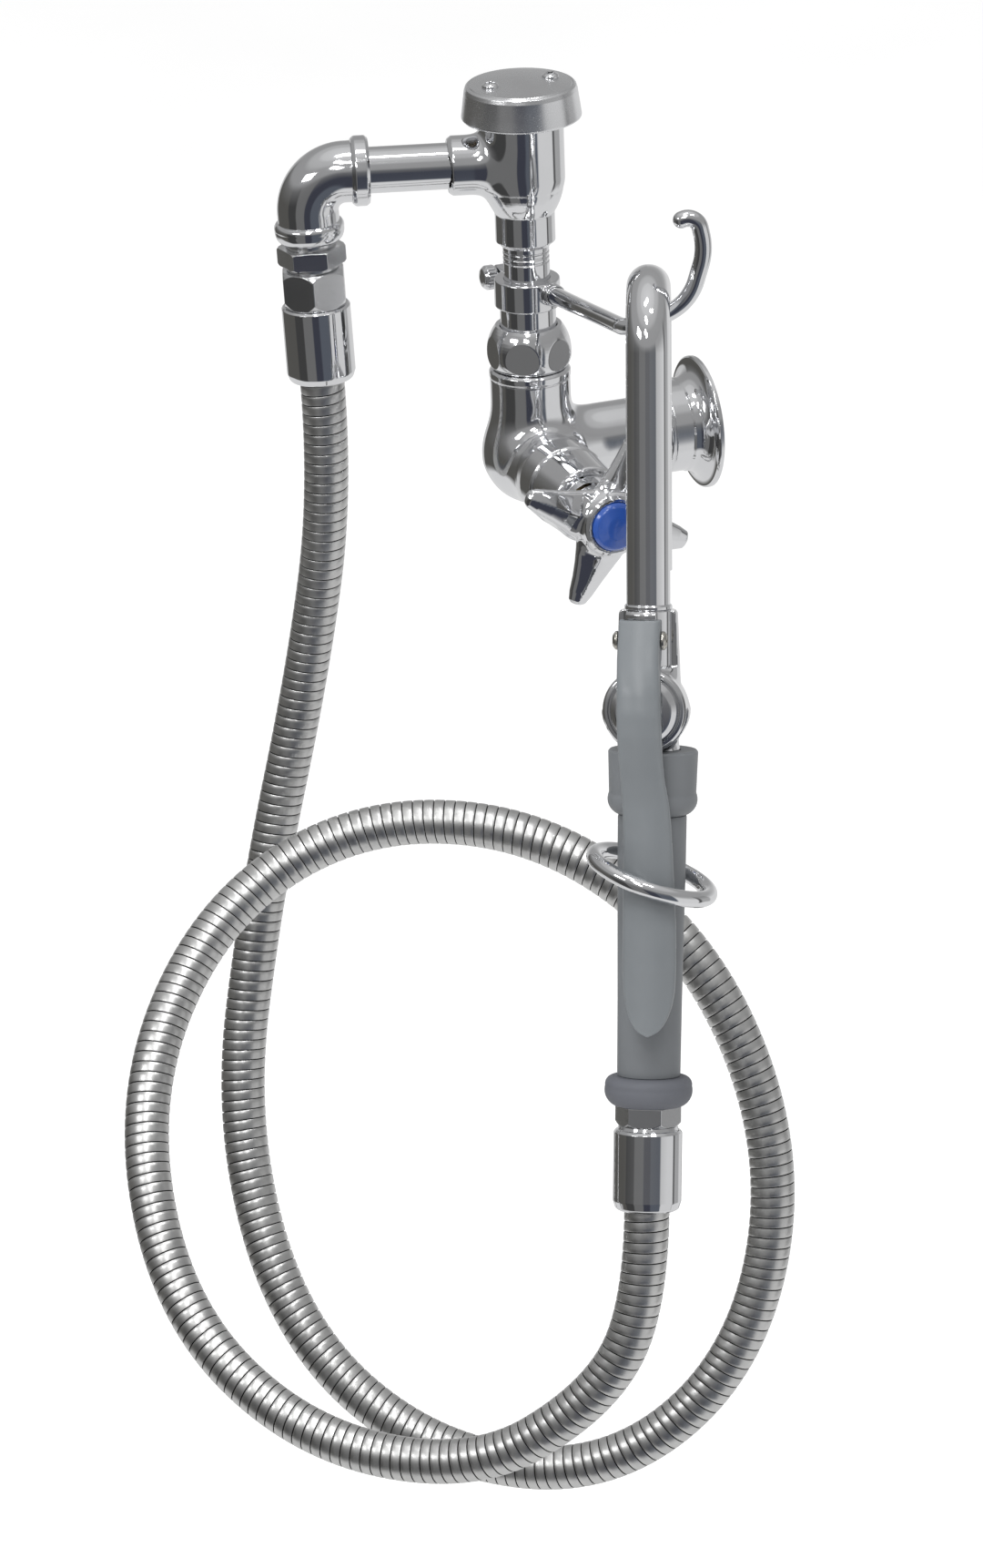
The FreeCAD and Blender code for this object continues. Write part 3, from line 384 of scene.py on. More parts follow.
def carved(name, f, lo, hi, h, place=None, relax=2):
    """Mesh of the surface f = 0 inside a box, in millimetres of a local frame,
    with each vertex moved onto the surface and its normal taken from f."""
    lo = np.array(lo, float)
    B = 6
    nb = np.ceil((np.array(hi, float) - lo) / (h * B)).astype(int)
    n = nb * B + 1
    cen = [lo[k] + (np.arange(nb[k]) + 0.5) * B * h for k in range(3)]
    C = np.stack(np.meshgrid(*cen, indexing="ij"), -1).reshape(-1, 3)
    d = f(C).reshape(nb)
    near = np.abs(d) < B * h * 0.87 * 1.7
    rep = near.repeat(B, 0).repeat(B, 1).repeat(B, 2)
    mask = np.zeros(n, bool)
    for i in (0, 1):
        for j in (0, 1):
            for k in (0, 1):
                mask[i:n[0] - 1 + i, j:n[1] - 1 + j, k:n[2] - 1 + k] |= rep
    F = np.ones(n)
    far = np.sign(d).repeat(B, 0).repeat(B, 1).repeat(B, 2) * 5.0
    F[:-1, :-1, :-1] = far
    F[-1, :-1, :-1], F[:-1, -1, :-1], F[:-1, :-1, -1] = far[-1], far[:, -1], far[:, :, -1]
    ii = np.argwhere(mask)
    F[mask] = f(lo + ii * h)
    neg = F < 0
    cs = np.zeros(n - 1, np.int8)
    for i in (0, 1):
        for j in (0, 1):
            for k in (0, 1):
                cs += neg[i:n[0] - 1 + i, j:n[1] - 1 + j, k:n[2] - 1 + k]
    act = (cs > 0) & (cs < 8)
    cells = np.argwhere(act)
    ids = np.full(n - 1, -1, np.int64)
    ids[act] = np.arange(len(cells))
    acc, cnt = np.zeros((len(cells), 3)), np.zeros(len(cells))
    corners = [(i, j, k) for i in (0, 1) for j in (0, 1) for k in (0, 1)]
    for a in corners:
        for ax in range(3):
            if a[ax]:
                continue
            b = list(a)
            b[ax] = 1
            fa = F[cells[:, 0] + a[0], cells[:, 1] + a[1], cells[:, 2] + a[2]]
            fb = F[cells[:, 0] + b[0], cells[:, 1] + b[1], cells[:, 2] + b[2]]
            cr = (fa < 0) != (fb < 0)
            t = np.where(cr, fa / np.where(cr, fa - fb, 1), 0)
            pt = cells + np.array(a)
            pt = pt.astype(float)
            pt[:, ax] += t
            acc += np.where(cr[:, None], pt, 0)
            cnt += cr
    V = lo + acc / cnt[:, None] * h
    quads = []
    for ax in range(3):
        sl0 = [slice(None)] * 3
        sl1 = [slice(None)] * 3
        sl0[ax], sl1[ax] = slice(0, -1), slice(1, None)
        a, b = neg[tuple(sl0)], neg[tuple(sl1)]
        e = np.argwhere(a != b)
        u, v = (ax + 1) % 3, (ax + 2) % 3
        ok = (e[:, u] > 0) & (e[:, v] > 0) & (e[:, u] < n[u] - 1) & (e[:, v] < n[v] - 1)
        e = e[ok]
        out = a[e[:, 0], e[:, 1], e[:, 2]]
        c = []
        for du, dv in ((-1, -1), (0, -1), (0, 0), (-1, 0)):
            q = e.copy()
            q[:, u] += du
            q[:, v] += dv
            c.append(ids[q[:, 0], q[:, 1], q[:, 2]])
        c = np.stack(c, 1)
        c = np.where(out[:, None], c, c[:, ::-1])
        quads.append(c)
    Q = np.concatenate(quads)

    def grad(p):
        e = 0.02
        g = np.empty_like(p)
        for k in range(3):
            o = np.zeros(3)
            o[k] = e
            g[:, k] = (f(p + o) - f(p - o)) / (2 * e)
        return g

    def settle(p, times):
        for _ in range(times):
            g = grad(p)
            g2 = np.maximum((g * g).sum(1), 0.05)
            stepv = -(f(p) / g2)[:, None] * g
            ln = np.linalg.norm(stepv, axis=1)
            stepv *= np.minimum(1, h / np.maximum(ln, 1e-9))[:, None]
            p = p + stepv
        return p

    V = settle(V, 1)
    ea = np.concatenate([Q[:, [0, 1]], Q[:, [1, 2]], Q[:, [2, 3]], Q[:, [3, 0]]])
    deg = np.bincount(ea[:, 0], minlength=len(V)).astype(float)
    for _ in range(relax):
        m = np.stack([np.bincount(ea[:, 0], V[ea[:, 1], k], len(V)) for k in range(3)], 1) / deg[:, None]
        V = settle(V + (m - V) * 0.6, 1)
    V = settle(V, 1)
    g = grad(V)
    g /= np.maximum(np.linalg.norm(g, axis=1), 1e-9)[:, None]
    if place is not None:
        V, g = place.out(V), place.turn(g)
    return new_piece(name, V * MM, Q.tolist(), g)


# ============================================================ camera and hose
az, el, roll = math.radians(70.0), math.radians(21.0), math.radians(2.0)
AZIM = np.array((math.sin(az) * math.cos(el), -math.cos(az) * math.cos(el), math.sin(el)))   # towards the camera
side_x = np.array((math.cos(az), math.sin(az), 0.0))
side_y = np.cross(AZIM, side_x)
RIGHT = math.cos(roll) * side_x - math.sin(roll) * side_y
UP = math.sin(roll) * side_x + math.cos(roll) * side_y
EYE = (np.array((0, RISER_Y, 0)) + 5000.0 * AZIM - (585.0 - 540.0) / 2.39 * RIGHT - (861.0 - 491.0) / 2.39 * UP) * MM
cam = bpy.data.cameras.new("camera")
cam.sensor_fit = "AUTO"
cam.sensor_width = 36.0
cam.lens = 11950.0 / 1722.0 * 36.0
cam.clip_start, cam.clip_end = 0.05, 200.0
cam_ob = bpy.data.objects.new("camera", cam)
bpy.context.scene.collection.objects.link(cam_ob)
cam_ob.matrix_world = Matrix((
    (RIGHT[0], UP[0], AZIM[0], EYE[0]),
    (RIGHT[1], UP[1], AZIM[1], EYE[1]),
    (RIGHT[2], UP[2], AZIM[2], EYE[2]),
    (0, 0, 0, 1)))
bpy.context.scene.camera = cam_ob

H0 = tuple(CORNER + LEG_DIR * 98.6)
H1 = tuple(CORNER + LEG_DIR * (98.6 + 53.3))
H3 = tuple(LOW_ORG - LOW_Z * 385.7)
H2 = tuple(LOW_ORG - LOW_Z * (385.7 + 45.3))
HOSE_ROUTE = [
    H0, H1, (-38.6, -182.9, -104.6), (-37.1, -211.2, -212.0),
    (-18.2, -236.2, -316.4), (33.2, -229.6, -404.8), (87.8, -182.4, -452.9), (140.1, -114.5, -455.3),
    (161.1, -52.8, -400.7), (150.4, -26.3, -309.2), (113.9, -46.8, -217.3), (59.3, -100.9, -165.4),
    (13.1, -175.4, -161.3), (2.3, -247.8, -199.1), (40.4, -303.0, -266.7), (98.1, -309.6, -349.5),
    (161.4, -271.4, -396.9), (215.3, -207.2, -404.2), (243.2, -157.4, -366.1), H2, H3]
crv = bpy.data.curves.new("hose_route", "CURVE")
crv.dimensions = "3D"
crv.resolution_u = 40
spl = crv.splines.new("NURBS")
spl.points.add(len(HOSE_ROUTE) - 1)
for pt, q in zip(spl.points, HOSE_ROUTE):
    pt.co = (q[0] * MM, q[1] * MM, q[2] * MM, 1.0)
spl.order_u = 3
spl.use_endpoint_u = True
route_ob = bpy.data.objects.new("hose_route", crv)
bpy.context.scene.collection.objects.link(route_ob)
dg = bpy.context.evaluated_depsgraph_get()
route_me = bpy.data.meshes.new_from_object(route_ob.evaluated_get(dg))
ROUTE = np.array([tuple(v.co) for v in route_me.vertices])
bpy.data.objects.remove(route_ob)
bpy.data.meshes.remove(route_me)


class Line:
    """A polyline read as a smooth function of arc length, in millimetres."""

    def __init__(self, pts):
        keep = [0]
        for k in range(1, len(pts)):
            if np.linalg.norm(pts[k] - pts[keep[-1]]) > 1e-7:
                keep.append(k)
        self.p = pts[keep] / MM
        self.s = np.concatenate([[0], np.cumsum(np.linalg.norm(np.diff(self.p, axis=0), axis=1))])
        t = np.gradient(self.p, self.s, axis=0)
        self.t = t / np.linalg.norm(t, axis=1)[:, None]
        self.n = transport(self.t, np.array((1.0, 0.2, 0.1)))
        self.length = float(self.s[-1])

    def at(self, s):
        out = []
        for a in (self.p, self.t, self.n):
            out.append(np.stack([np.interp(s, self.s, a[:, k]) for k in range(3)], -1))
        p, t, n = out
        t /= np.linalg.norm(t, axis=-1, keepdims=True)
        n -= t * (n * t).sum(-1, keepdims=True)
        n /= np.linalg.norm(n, axis=-1, keepdims=True)
        return p, t, n, np.cross(t, n)


def strip_hose(name, line, pitch, radii, phases, around):
    """Interlocked strip-wound hose: one helical mesh whose radius follows the
    strip's own section once in every pitch."""
    L = line.length
    per = len(phases)
    turns = int(math.ceil(L / pitch)) + 2
    rows = turns * per
    base = np.array([(k + ph - 1.0) * pitch for k in range(turns) for ph in phases])
    th = np.arange(around) / around
    S = base[:, None] + th[None, :] * pitch
    R = np.tile(np.array([radii[k % per] for k in range(rows)])[:, None], (1, around))
    Sc = np.clip(S, 0, L)
    p, t, n, b = line.at(Sc.ravel())
    ang = np.tile(th * 2 * math.pi, rows)
    V = p + R.ravel()[:, None] * (np.cos(ang)[:, None] * n + np.sin(ang)[:, None] * b)
    faces, groove = [], []
    for r in range(rows - 1):
        for j in range(around):
            r2, j2 = (r, j + 1) if j + 1 < around else (r + per, 0)
            if r2 + 1 >= rows:
                continue
            q = (r * around + j, r2 * around + j2, (r2 + 1) * around + j2, (r + 1) * around + j)
            s = [S.flat[i] for i in q]
            if min(s) > L - 1e-6 or max(s) < 1e-6:
                continue
            faces.append(q)
    me = bpy.data.meshes.new(name)
    me.from_pydata((V * MM).tolist(), [], faces)
    me.update()
    bm = bmesh.new()
    bm.from_mesh(me)
    bmesh.ops.delete(bm, geom=[v for v in bm.verts if not v.link_faces], context="VERTS")
    bmesh.ops.remove_doubles(bm, verts=[v for v in bm.verts if v.is_boundary], dist=2e-6)
    bmesh.ops.dissolve_degenerate(bm, dist=1e-6, edges=[e for e in bm.edges if e.is_boundary])
    bmesh.ops.holes_fill(bm, edges=[e for e in bm.edges if e.is_boundary], sides=0)
    bmesh.ops.recalc_face_normals(bm, faces=bm.faces)
    bm.to_mesh(me)
    bm.free()
    me.polygons.foreach_set("use_smooth", [True] * len(me.polygons))
    me.set_sharp_from_angle(angle=math.radians(30))
    me.update()
    ob = bpy.data.objects.new(name, me)
    bpy.context.scene.collection.objects.link(ob)
    return ob


HOSE = Line(ROUTE)
hose = strip_hose("hose_steel_strip", HOSE, 4.75,
                  [9.35, 9.35, 10.02, 10.2, 10.2, 10.2, 10.08],
                  [0.00, 0.085, 0.10, 0.17, 0.45, 0.80, 0.985], 36)

# ================================================================== materials
MATS = {}


class Nodes:
    """Little helper to write shader graphs."""

    def __init__(self, tree):
        self.t = tree

    def new(self, kind, **kw):
        n = self.t.nodes.new(kind)
        for k, v in kw.items():
            if k in n.inputs:
                n.inputs[k].default_value = v
            else:
                setattr(n, k, v)
        return n

    def link(self, a, b):
        self.t.links.new(a, b)

    def math(self, op, a, b=None, c=None, clamp=False):
        n = self.t.nodes.new("ShaderNodeMath")
        n.operation = op
        n.use_clamp = clamp
        for i, v in enumerate((a, b, c)):
            if v is None:
                continue
            if isinstance(v, (int, float)):
                n.inputs[i].default_value = v
            else:
                self.link(v, n.inputs[i])
        return n.outputs[0]

    def ramp(self, fac, stops, mode="LINEAR"):
        n = self.t.nodes.new("ShaderNodeValToRGB")
        n.color_ramp.interpolation = mode
        el = n.color_ramp.elements
        while len(el) > 1:
            el.remove(el[-1])
        el[0].position = stops[0][0]
        el[0].color = grey(stops[0][1])
        for pos, val in stops[1:]:
            e = el.new(pos)
            e.color = grey(val)
        self.link(fac, n.inputs[0])
        return n.outputs[0]


def lin(c):
    c = c / 255.0
    return c / 12.92 if c <= 0.04045 else ((c + 0.055) / 1.055) ** 2.4


def grey(v):
    if isinstance(v, (int, float)):
        return (v, v, v, 1.0)
    return (v[0], v[1], v[2], 1.0)


def rgb(r, g, b):
    return (lin(r), lin(g), lin(b))


def material(name):
    m = bpy.data.materials.new(name)
    m.use_nodes = True
    t = m.node_tree
    t.nodes.clear()
    k = Nodes(t)
    out = t.nodes.new("ShaderNodeOutputMaterial")
    bsdf = t.nodes.new("ShaderNodeBsdfPrincipled")
    k.link(bsdf.outputs[0], out.inputs[0])
    MATS[name] = m
    return m, k, bsdf


def coords(k, scale=(1, 1, 1), rot=(0, 0, 0)):
    tc = k.new("ShaderNodeTexCoord")
    mp = k.new("ShaderNodeMapping")
    mp.inputs["Scale"].default_value = scale
    mp.inputs["Rotation"].default_value = rot
    k.link(tc.outputs["Object"], mp.inputs["Vector"])
    return mp.outputs[0]


def noise(k, vec, scale, detail=4.0, rough=0.55, out="Fac"):
    n = k.new("ShaderNodeTexNoise")
    n.inputs["Scale"].default_value = scale
    n.inputs["Detail"].default_value = detail
    n.inputs["Roughness"].default_value = rough
    k.link(vec, n.inputs["Vector"])
    return n.outputs[out]


def chrome(name, tint=(0.80, 0.805, 0.82), rough=0.045, cast=0.0, brush=0.0, dark=0.0):
    """Polished plate: clean mirror, faint polishing haze, dried water marks,
    slight ripple of the casting below, painted shade in the creases."""
    m, k, b = material(name)
    v = coords(k)
    haze = noise(k, v, 26.0, 5.0, 0.6)
    fine = noise(k, coords(k, (1, 1, 5)), 900.0, 3.0, 0.6)
    spots = k.new("ShaderNodeTexVoronoi")
    spots.feature = "F1"
    spots.inputs["Scale"].default_value = 210.0
    k.link(v, spots.inputs["Vector"])
    drop = k.ramp(spots.outputs["Distance"], [(0.0, 0.0), (0.24, 0.0), (0.27, 1.0), (0.30, 0.0), (1.0, 0.0)])
    r = k.math("MULTIPLY_ADD", haze, rough * 1.3, rough * 0.35)
    r = k.math("MULTIPLY_ADD", drop, 0.03, r)
    r = k.math("MULTIPLY_ADD", fine, rough * 0.5 + brush, r)
    k.link(r, b.inputs["Roughness"])
    geo = k.new("ShaderNodeNewGeometry")
    # painted shade: base colour darker where the surface curves inwards (creases, fillets), a touch lighter on sharp
    # outward edges
    painted_crease_shade = k.ramp(geo.outputs["Pointiness"], [(0.0, 0.30), (0.44, 0.62), (0.497, 1.0), (0.53, 1.0), (1.0, 1.08)])
    mix = k.new("ShaderNodeMix", data_type="RGBA", blend_type="MULTIPLY")
    mix.inputs[0].default_value = 0.8
    base = k.ramp(haze, [(0.3, tuple(c * (0.95 - dark) for c in tint)), (0.7, tuple(c * (1 - dark) for c in tint))])
    k.link(base, mix.inputs[6])
    k.link(painted_crease_shade, mix.inputs[7])
    k.link(mix.outputs[2], b.inputs["Base Color"])
    b.inputs["Metallic"].default_value = 1.0
    bump = k.new("ShaderNodeBump")
    bump.inputs["Strength"].default_value = 0.35
    bump.inputs["Distance"].default_value = 0.00002 + cast * 0.0006
    wave = noise(k, v, 55.0 + 120 * cast, 2.0, 0.4)
    k.link(wave, bump.inputs["Height"])
    if brush:
        bump2 = k.new("ShaderNodeBump")
        bump2.inputs["Strength"].default_value = 0.25
        bump2.inputs["Distance"].default_value = 0.00003
        k.link(fine, bump2.inputs["Height"])
        k.link(bump.outputs[0], bump2.inputs["Normal"])
        k.link(bump2.outputs[0], b.inputs["Normal"])
    else:
        k.link(bump.outputs[0], b.inputs["Normal"])
    return m


def plastic(name, colour, rough=0.38, grain=0.3, spec=0.5, coat=0.0, mottle=0.06, worn=0.15):
    """Moulded plastic or paint: fine grain, slight mottling, rubbed edges, painted shade in the creases."""
    m, k, b = material(name)
    v = coords(k)
    big = noise(k, v, 30.0, 4.0, 0.6)
    small = noise(k, v, 1400.0, 2.0, 0.5)
    scr = noise(k, coords(k, (1, 1, 0.08)), 700.0, 3.0, 0.7)
    base = k.ramp(big, [(0.25, tuple(c * (1 - mottle) for c in colour)), (0.75, tuple(c * (1 + mottle) for c in colour))])
    geo = k.new("ShaderNodeNewGeometry")
    # painted shade: darker where the surface curves inwards; lighter outward edges stand for rubbed wear
    edge = k.ramp(geo.outputs["Pointiness"], [(0.0, 0.75), (0.46, 0.9), (0.5, 1.0), (0.56, 1.0 + worn), (1.0, 1.0 + worn)])
    mix = k.new("ShaderNodeMix", data_type="RGBA", blend_type="MULTIPLY")
    mix.inputs[0].default_value = 1.0
    k.link(base, mix.inputs[6])
    k.link(edge, mix.inputs[7])
    k.link(mix.outputs[2], b.inputs["Base Color"])
    r = k.math("MULTIPLY_ADD", big, 0.12, rough - 0.08)
    r = k.math("MULTIPLY_ADD", scr, 0.08, r)
    k.link(r, b.inputs["Roughness"])
    b.inputs["Specular IOR Level"].default_value = spec
    b.inputs["Coat Weight"].default_value = coat
    b.inputs["Coat Roughness"].default_value = 0.08
    bump = k.new("ShaderNodeBump")
    bump.inputs["Strength"].default_value = grain
    bump.inputs["Distance"].default_value = 0.00004
    k.link(k.math("MULTIPLY_ADD", scr, 0.5, small), bump.inputs["Height"])
    k.link(bump.outputs[0], b.inputs["Normal"])
    return m


def metal(name, colour, rough, scratch=(1, 1, 0.1), bump_mm=0.01):
    """Plain machined or rolled metal: tool marks and a little staining."""
    m, k, b = material(name)
    v = coords(k)
    big = noise(k, v, 60.0, 4.0, 0.6)
    line = noise(k, coords(k, scratch), 1500.0, 3.0, 0.65)
    k.link(k.ramp(big, [(0.25, tuple(c * 0.86 for c in colour)), (0.8, colour)]), b.inputs["Base Color"])
    b.inputs["Metallic"].default_value = 1.0
    k.link(k.math("MULTIPLY_ADD", line, 0.22, rough - 0.11), b.inputs["Roughness"])
    bump = k.new("ShaderNodeBump")
    bump.inputs["Strength"].default_value = 0.4
    bump.inputs["Distance"].default_value = bump_mm * MM
    k.link(line, bump.inputs["Height"])
    k.link(bump.outputs[0], b.inputs["Normal"])
    return m


chrome("chrome_plate")
chrome("cast_chrome", rough=0.06, cast=0.25)
chrome("dark_chrome", tint=(0.82, 0.825, 0.84), rough=0.19, brush=0.03)
chrome("nut_chrome", tint=(0.73, 0.735, 0.745), rough=0.13, brush=0.08)
chrome("nozzle_chrome", tint=(0.84, 0.845, 0.86), rough=0.03)
chrome("handle_chrome", tint=(0.82, 0.825, 0.84), rough=0.035)
plastic("grip_grey", rgb(104, 107, 110), rough=0.44, grain=0.35)
plastic("lever_grey", rgb(107, 111, 114), rough=0.34, grain=0.15, spec=0.55)
plastic("bumper_grey", rgb(90, 92, 98), rough=0.55, grain=0.5, spec=0.35)
plastic("blue_button", rgb(40, 76, 152), rough=0.20, grain=0.05, coat=0.8, mottle=0.03, worn=0.0)
metal("brass_inner", (0.62, 0.46, 0.24), 0.32)
metal("steel_screw", (0.62, 0.60, 0.55), 0.24)
metal("spring_steel", (0.55, 0.54, 0.52), 0.30)
plastic("white_ceramic", rgb(226, 224, 216), rough=0.2, grain=0.05, coat=0.4, mottle=0.02)
plastic("black_rubber", rgb(26, 26, 27), rough=0.6, grain=0.6, mottle=0.2)
plastic("fibre", rgb(120, 84, 58), rough=0.7, grain=0.8, mottle=0.25)


def hose_material():
    m, k, b = material("hose_steel")
    v = coords(k)
    big = noise(k, v, 40.0, 4.0, 0.6)
    fine = noise(k, v, 1600.0, 3.0, 0.6)
    strip = noise(k, v, 190.0, 2.0, 0.5)
    geo = k.new("ShaderNodeNewGeometry")
    att = k.new("ShaderNodeAttribute", attribute_name="groove")
    # painted shade: base colour darkened towards the bottom of the strip grooves
    painted_crease_shade = k.ramp(att.outputs["Fac"], [(0.0, 1.0), (0.26, 1.0), (0.5, 0.14), (1.0, 0.05)])
    base = k.ramp(k.math("MULTIPLY_ADD", strip, 0.6, k.math("MULTIPLY", big, 0.4)),
                  [(0.3, (0.60, 0.60, 0.595)), (0.75, (0.75, 0.75, 0.74))])
    mix = k.new("ShaderNodeMix", data_type="RGBA", blend_type="MULTIPLY")
    mix.inputs[0].default_value = 1.0
    k.link(base, mix.inputs[6])
    k.link(painted_crease_shade, mix.inputs[7])
    k.link(mix.outputs[2], b.inputs["Base Color"])
    b.inputs["Metallic"].default_value = 1.0
    k.link(k.math("MULTIPLY_ADD", fine, 0.14, k.math("MULTIPLY_ADD", strip, 0.10, 0.24)), b.inputs["Roughness"])
    bump = k.new("ShaderNodeBump")
    bump.inputs["Strength"].default_value = 0.3
    bump.inputs["Distance"].default_value = 0.00002
    k.link(fine, bump.inputs["Height"])
    k.link(bump.outputs[0], b.inputs["Normal"])
    return m


hose_material()
SLOT_MAT = {s: s for s in MATS}
SLOT_OF = {"cast_chrome": "chrome_plate", "nut_chrome": "chrome_plate"}


def dress(ob, mat, body=None, nodes=()):
    ob.data.materials.clear()
    ob.data.materials.append(MATS[mat])
    if body:
        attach(ob, body)
    if nodes:
        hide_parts(*nodes)
    SLOT_OF.get(mat, mat)
    return ob


# groove depth of the hose as a soft 0..1 value on each vertex; the hose material darkens by it as painted shade in the
# grooves
co = np.empty(len(hose.data.vertices) * 3)
hose.data.vertices.foreach_get("co", co)
co = co.reshape(-1, 3) / MM
seg_i = np.zeros(len(co), int)
best = np.full(len(co), 1e9)
cp = HOSE.p[::4]
for a in range(0, len(co), 20000):
    dd = ((co[a:a + 20000, None, :] - cp[None, :, :]) ** 2).sum(-1)
    seg_i[a:a + 20000] = dd.argmin(1)
tt = HOSE.t[::4][seg_i]
rel = co - cp[seg_i]
rel -= tt * (rel * tt).sum(1)[:, None]
depth = np.clip((10.1 - np.linalg.norm(rel, axis=1)) / 0.6, 0, 1)
att = hose.data.attributes.new("groove", "FLOAT", "POINT")
att.data.foreach_set("value", depth.astype(np.float32))
hose.data.materials.append(MATS["hose_steel"])
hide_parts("hose")
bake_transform(hose)

# ==================================================================== faucet
# wall flange: flat rim, concave sweep up to the round boss, threaded bore
dress(turned("wall_flange_ring", [
    (9.9, 0.0), (30.75, 0.0, 0.3), (30.75, 1.9, 0.7), (29.9, 2.6, 0.3), (21.9, 10.4, 24.4, 4.6),
    (21.3, 11.4, 0.4), (21.3, 19.4, 0.2), (20.9, 19.7, 0.1), (20.9, 20.2, 0.1), (21.3, 20.5, 0.2), (21.3, 22.0, 0.9), (13.1, 22.0, 0.2), (13.1, 14.0, 0.2), (9.9, 14.0, 0.3),
    (9.9, 12.6, 0.1), (10.5, 11.9, 0.1), (9.9, 11.1, 0.1), (10.5, 10.2, 0.1), (9.9, 9.3, 0.1), (10.5, 8.4, 0.1),
    (9.9, 7.5, 0.1), (10.5, 6.6, 0.1), (9.9, 5.7, 0.1), (10.5, 4.8, 0.1), (9.9, 3.9, 0.1), (10.5, 3.0, 0.1), (9.9, 2.1, 0.1)],
    WALL, seg=160), "chrome_plate", "faucet", ["wall_flange"])


# valve body: one casting, bulb, barrel, inlet arm and stem boss run together
def valve_body(p):
    q = RISER.inn(p)
    bulb = d_sphere(p, (0, RISER_Y, -2.0), 22.8)
    barrel = d_cyl(q, 18.4, -6, 35.0, 1.0)
    w = WALL.inn(p)
    arm = d_cyl(w, 15.8, 22.2, 84.3, 1.6)
    spig = d_cyl(w, 13.0, 15.8, 26.0, 0.3)
    s = STEM.inn(p)
    boss = d_turned(s, [(0, 0), (17.9, 0, 0.5), (17.9, 24, 6.0), (19.3, 34, 6.0), (19.3, 45.9, 0.7), (18.2, 47.0, 0.5), (0, 47.0)])
    d = smin(bulb, barrel, 11.0)
    d = smin(d, arm, 13.0)
    d = smin(d, boss, 9.0)
    bead = d_turned(q, [(0, 33.6), (17.7, 33.6, 0.5), (17.9, 34.6, 0.5), (18.75, 35.6, 0.6), (18.75, 38.2, 0.8), (17.6, 39.4, 0.6), (14.8, 39.4, 0.3), (14.8, 49.2, 0.3), (0, 49.2)])
    d = smin(d, bead, 0.5)
    d = smin(d, spig, 0.4)
    bore = d_cyl(w, 7.5, 10, 60, 2.0)
    cart = d_turned(s, [(0, -10), (7.0, -10, 0.5), (7.0, -4, 0.2), (11.5, -4, 0.3), (11.5, 28.2, 0.3), (14.0, 28.2, 0.3), (14.0, 52, 0.2), (0, 52)])
    rise = d_cyl(q, 8.5, 2, 60, 2.0)
    cut = np.minimum(np.minimum(bore, cart), rise)
    return smax(d, -cut, 0.5)


dress(carved("valve_body_casting", valve_body, (-24.8, -108.8, -28), (48, -13, 51), 0.72), "cast_chrome", "faucet", ["valve_body"])

# bonnet: conical skirt with a rolled front edge
dress(turned("bonnet_skirt", [
    (6.4, 30.5), (13.9, 30.5), (13.9, 47.0), (18.4, 47.2, 0.4), (18.9, 49.5, 0.8), (18.3, 60.0, 2.0), (17.9, 71.2, 0.5),
    (17.0, 73.4, 17.7, 72.9), (16.3, 73.4, 0.2), (16.0, 70.6, 0.3), (13.9, 70.6, 0.3), (13.6, 73.0, 0.3), (10.4, 73.0, 0.3),
    (10.4, 68.0), (6.4, 68.0)], STEM, seg=144), "handle_chrome", "faucet", ["bonnet"])

# riser nut: domed hexagon with oval flats
dress(carved("riser_hex_nut", lambda p: smax(smax(
    d_turned(p, [(0, 39.6), (17.0, 39.6, 0.4), (19.5, 46.5, 18.8, 42.6), (15.2, 60.0, 18.3, 54.2), (0, 60.0)]),
    d_hex(p, 35.6, 0.3, -0.6), 0.2),
    -d_turned(p, [(0, 39), (15.0, 39, 0.2), (15.0, 53.2, 0.3), (12.95, 53.2, 0.2), (12.95, 58.9, 0.2), (13.6, 59.9, 0.2), (13.6, 62), (0, 62)]), 0.3),
    (-20.5, -20.5, 39.2), (20.5, 20.5, 60.6), 0.42, RISER), "chrome_plate", "faucet", ["riser_nut"])

dress(turned("swivel_sleeve_tube", [
    (8.0, 50.6), (14.7, 50.6), (14.7, 53.1), (12.8, 53.1, 0.3), (12.8, 68.4, 0.3), (12.2, 69.0, 0.2), (10.65, 69.0), (10.65, 57.0), (8.0, 57.0)],
    RISER, seg=128), "chrome_plate", "faucet", ["swivel_sleeve"])
dress(turned("riser_pipe", [
    (7.9, 57.0), (10.65, 57.0), (10.65, 90.2, 0.1), (10.2, 90.7, 0.1), (10.2, 91.1, 0.1), (10.65, 91.6, 0.1), (10.65, 92.6, 0.1), (10.2, 93.1, 0.1),
    (10.2, 93.5, 0.1), (10.65, 94.0, 0.1), (10.65, 95.0, 0.1), (10.25, 95.4, 0.1), (10.25, 95.8, 0.1), (10.65, 96.2, 0.1), (10.65, 110.0), (7.9, 110.0)],
    RISER, seg=128), "chrome_plate", "faucet", ["riser_nipple"])

# hook rod and the split clamp that carries it
ROD_PTS = [(11.5, -76.1, 76.8), (122.5, -83.1, 95.3), (131.2, -74.4, 98.8), (137.9, -57.2, 107.8),
           (140.9, -50.1, 132.4), (139.1, -53.1, 149.3), (136.8, -59.6, 146.4)]
ROD_DIR = unit(np.array(ROD_PTS[1]) - np.array(ROD_PTS[0]))
ROD = Place(ROD_PTS[0], ROD_DIR)
rod_path = Path([tuple(np.array(ROD_PTS[0]) - ROD_DIR * 0.4)] + ROD_PTS[1:], [9.5, 14.0, 24.0, 30.0, 5.6])
RL = rod_path.length
tip = [(3.85 * math.cos(a), RL + 3.83 * math.sin(a) - 0.02) for a in np.radians(np.linspace(0, 88, 12))]


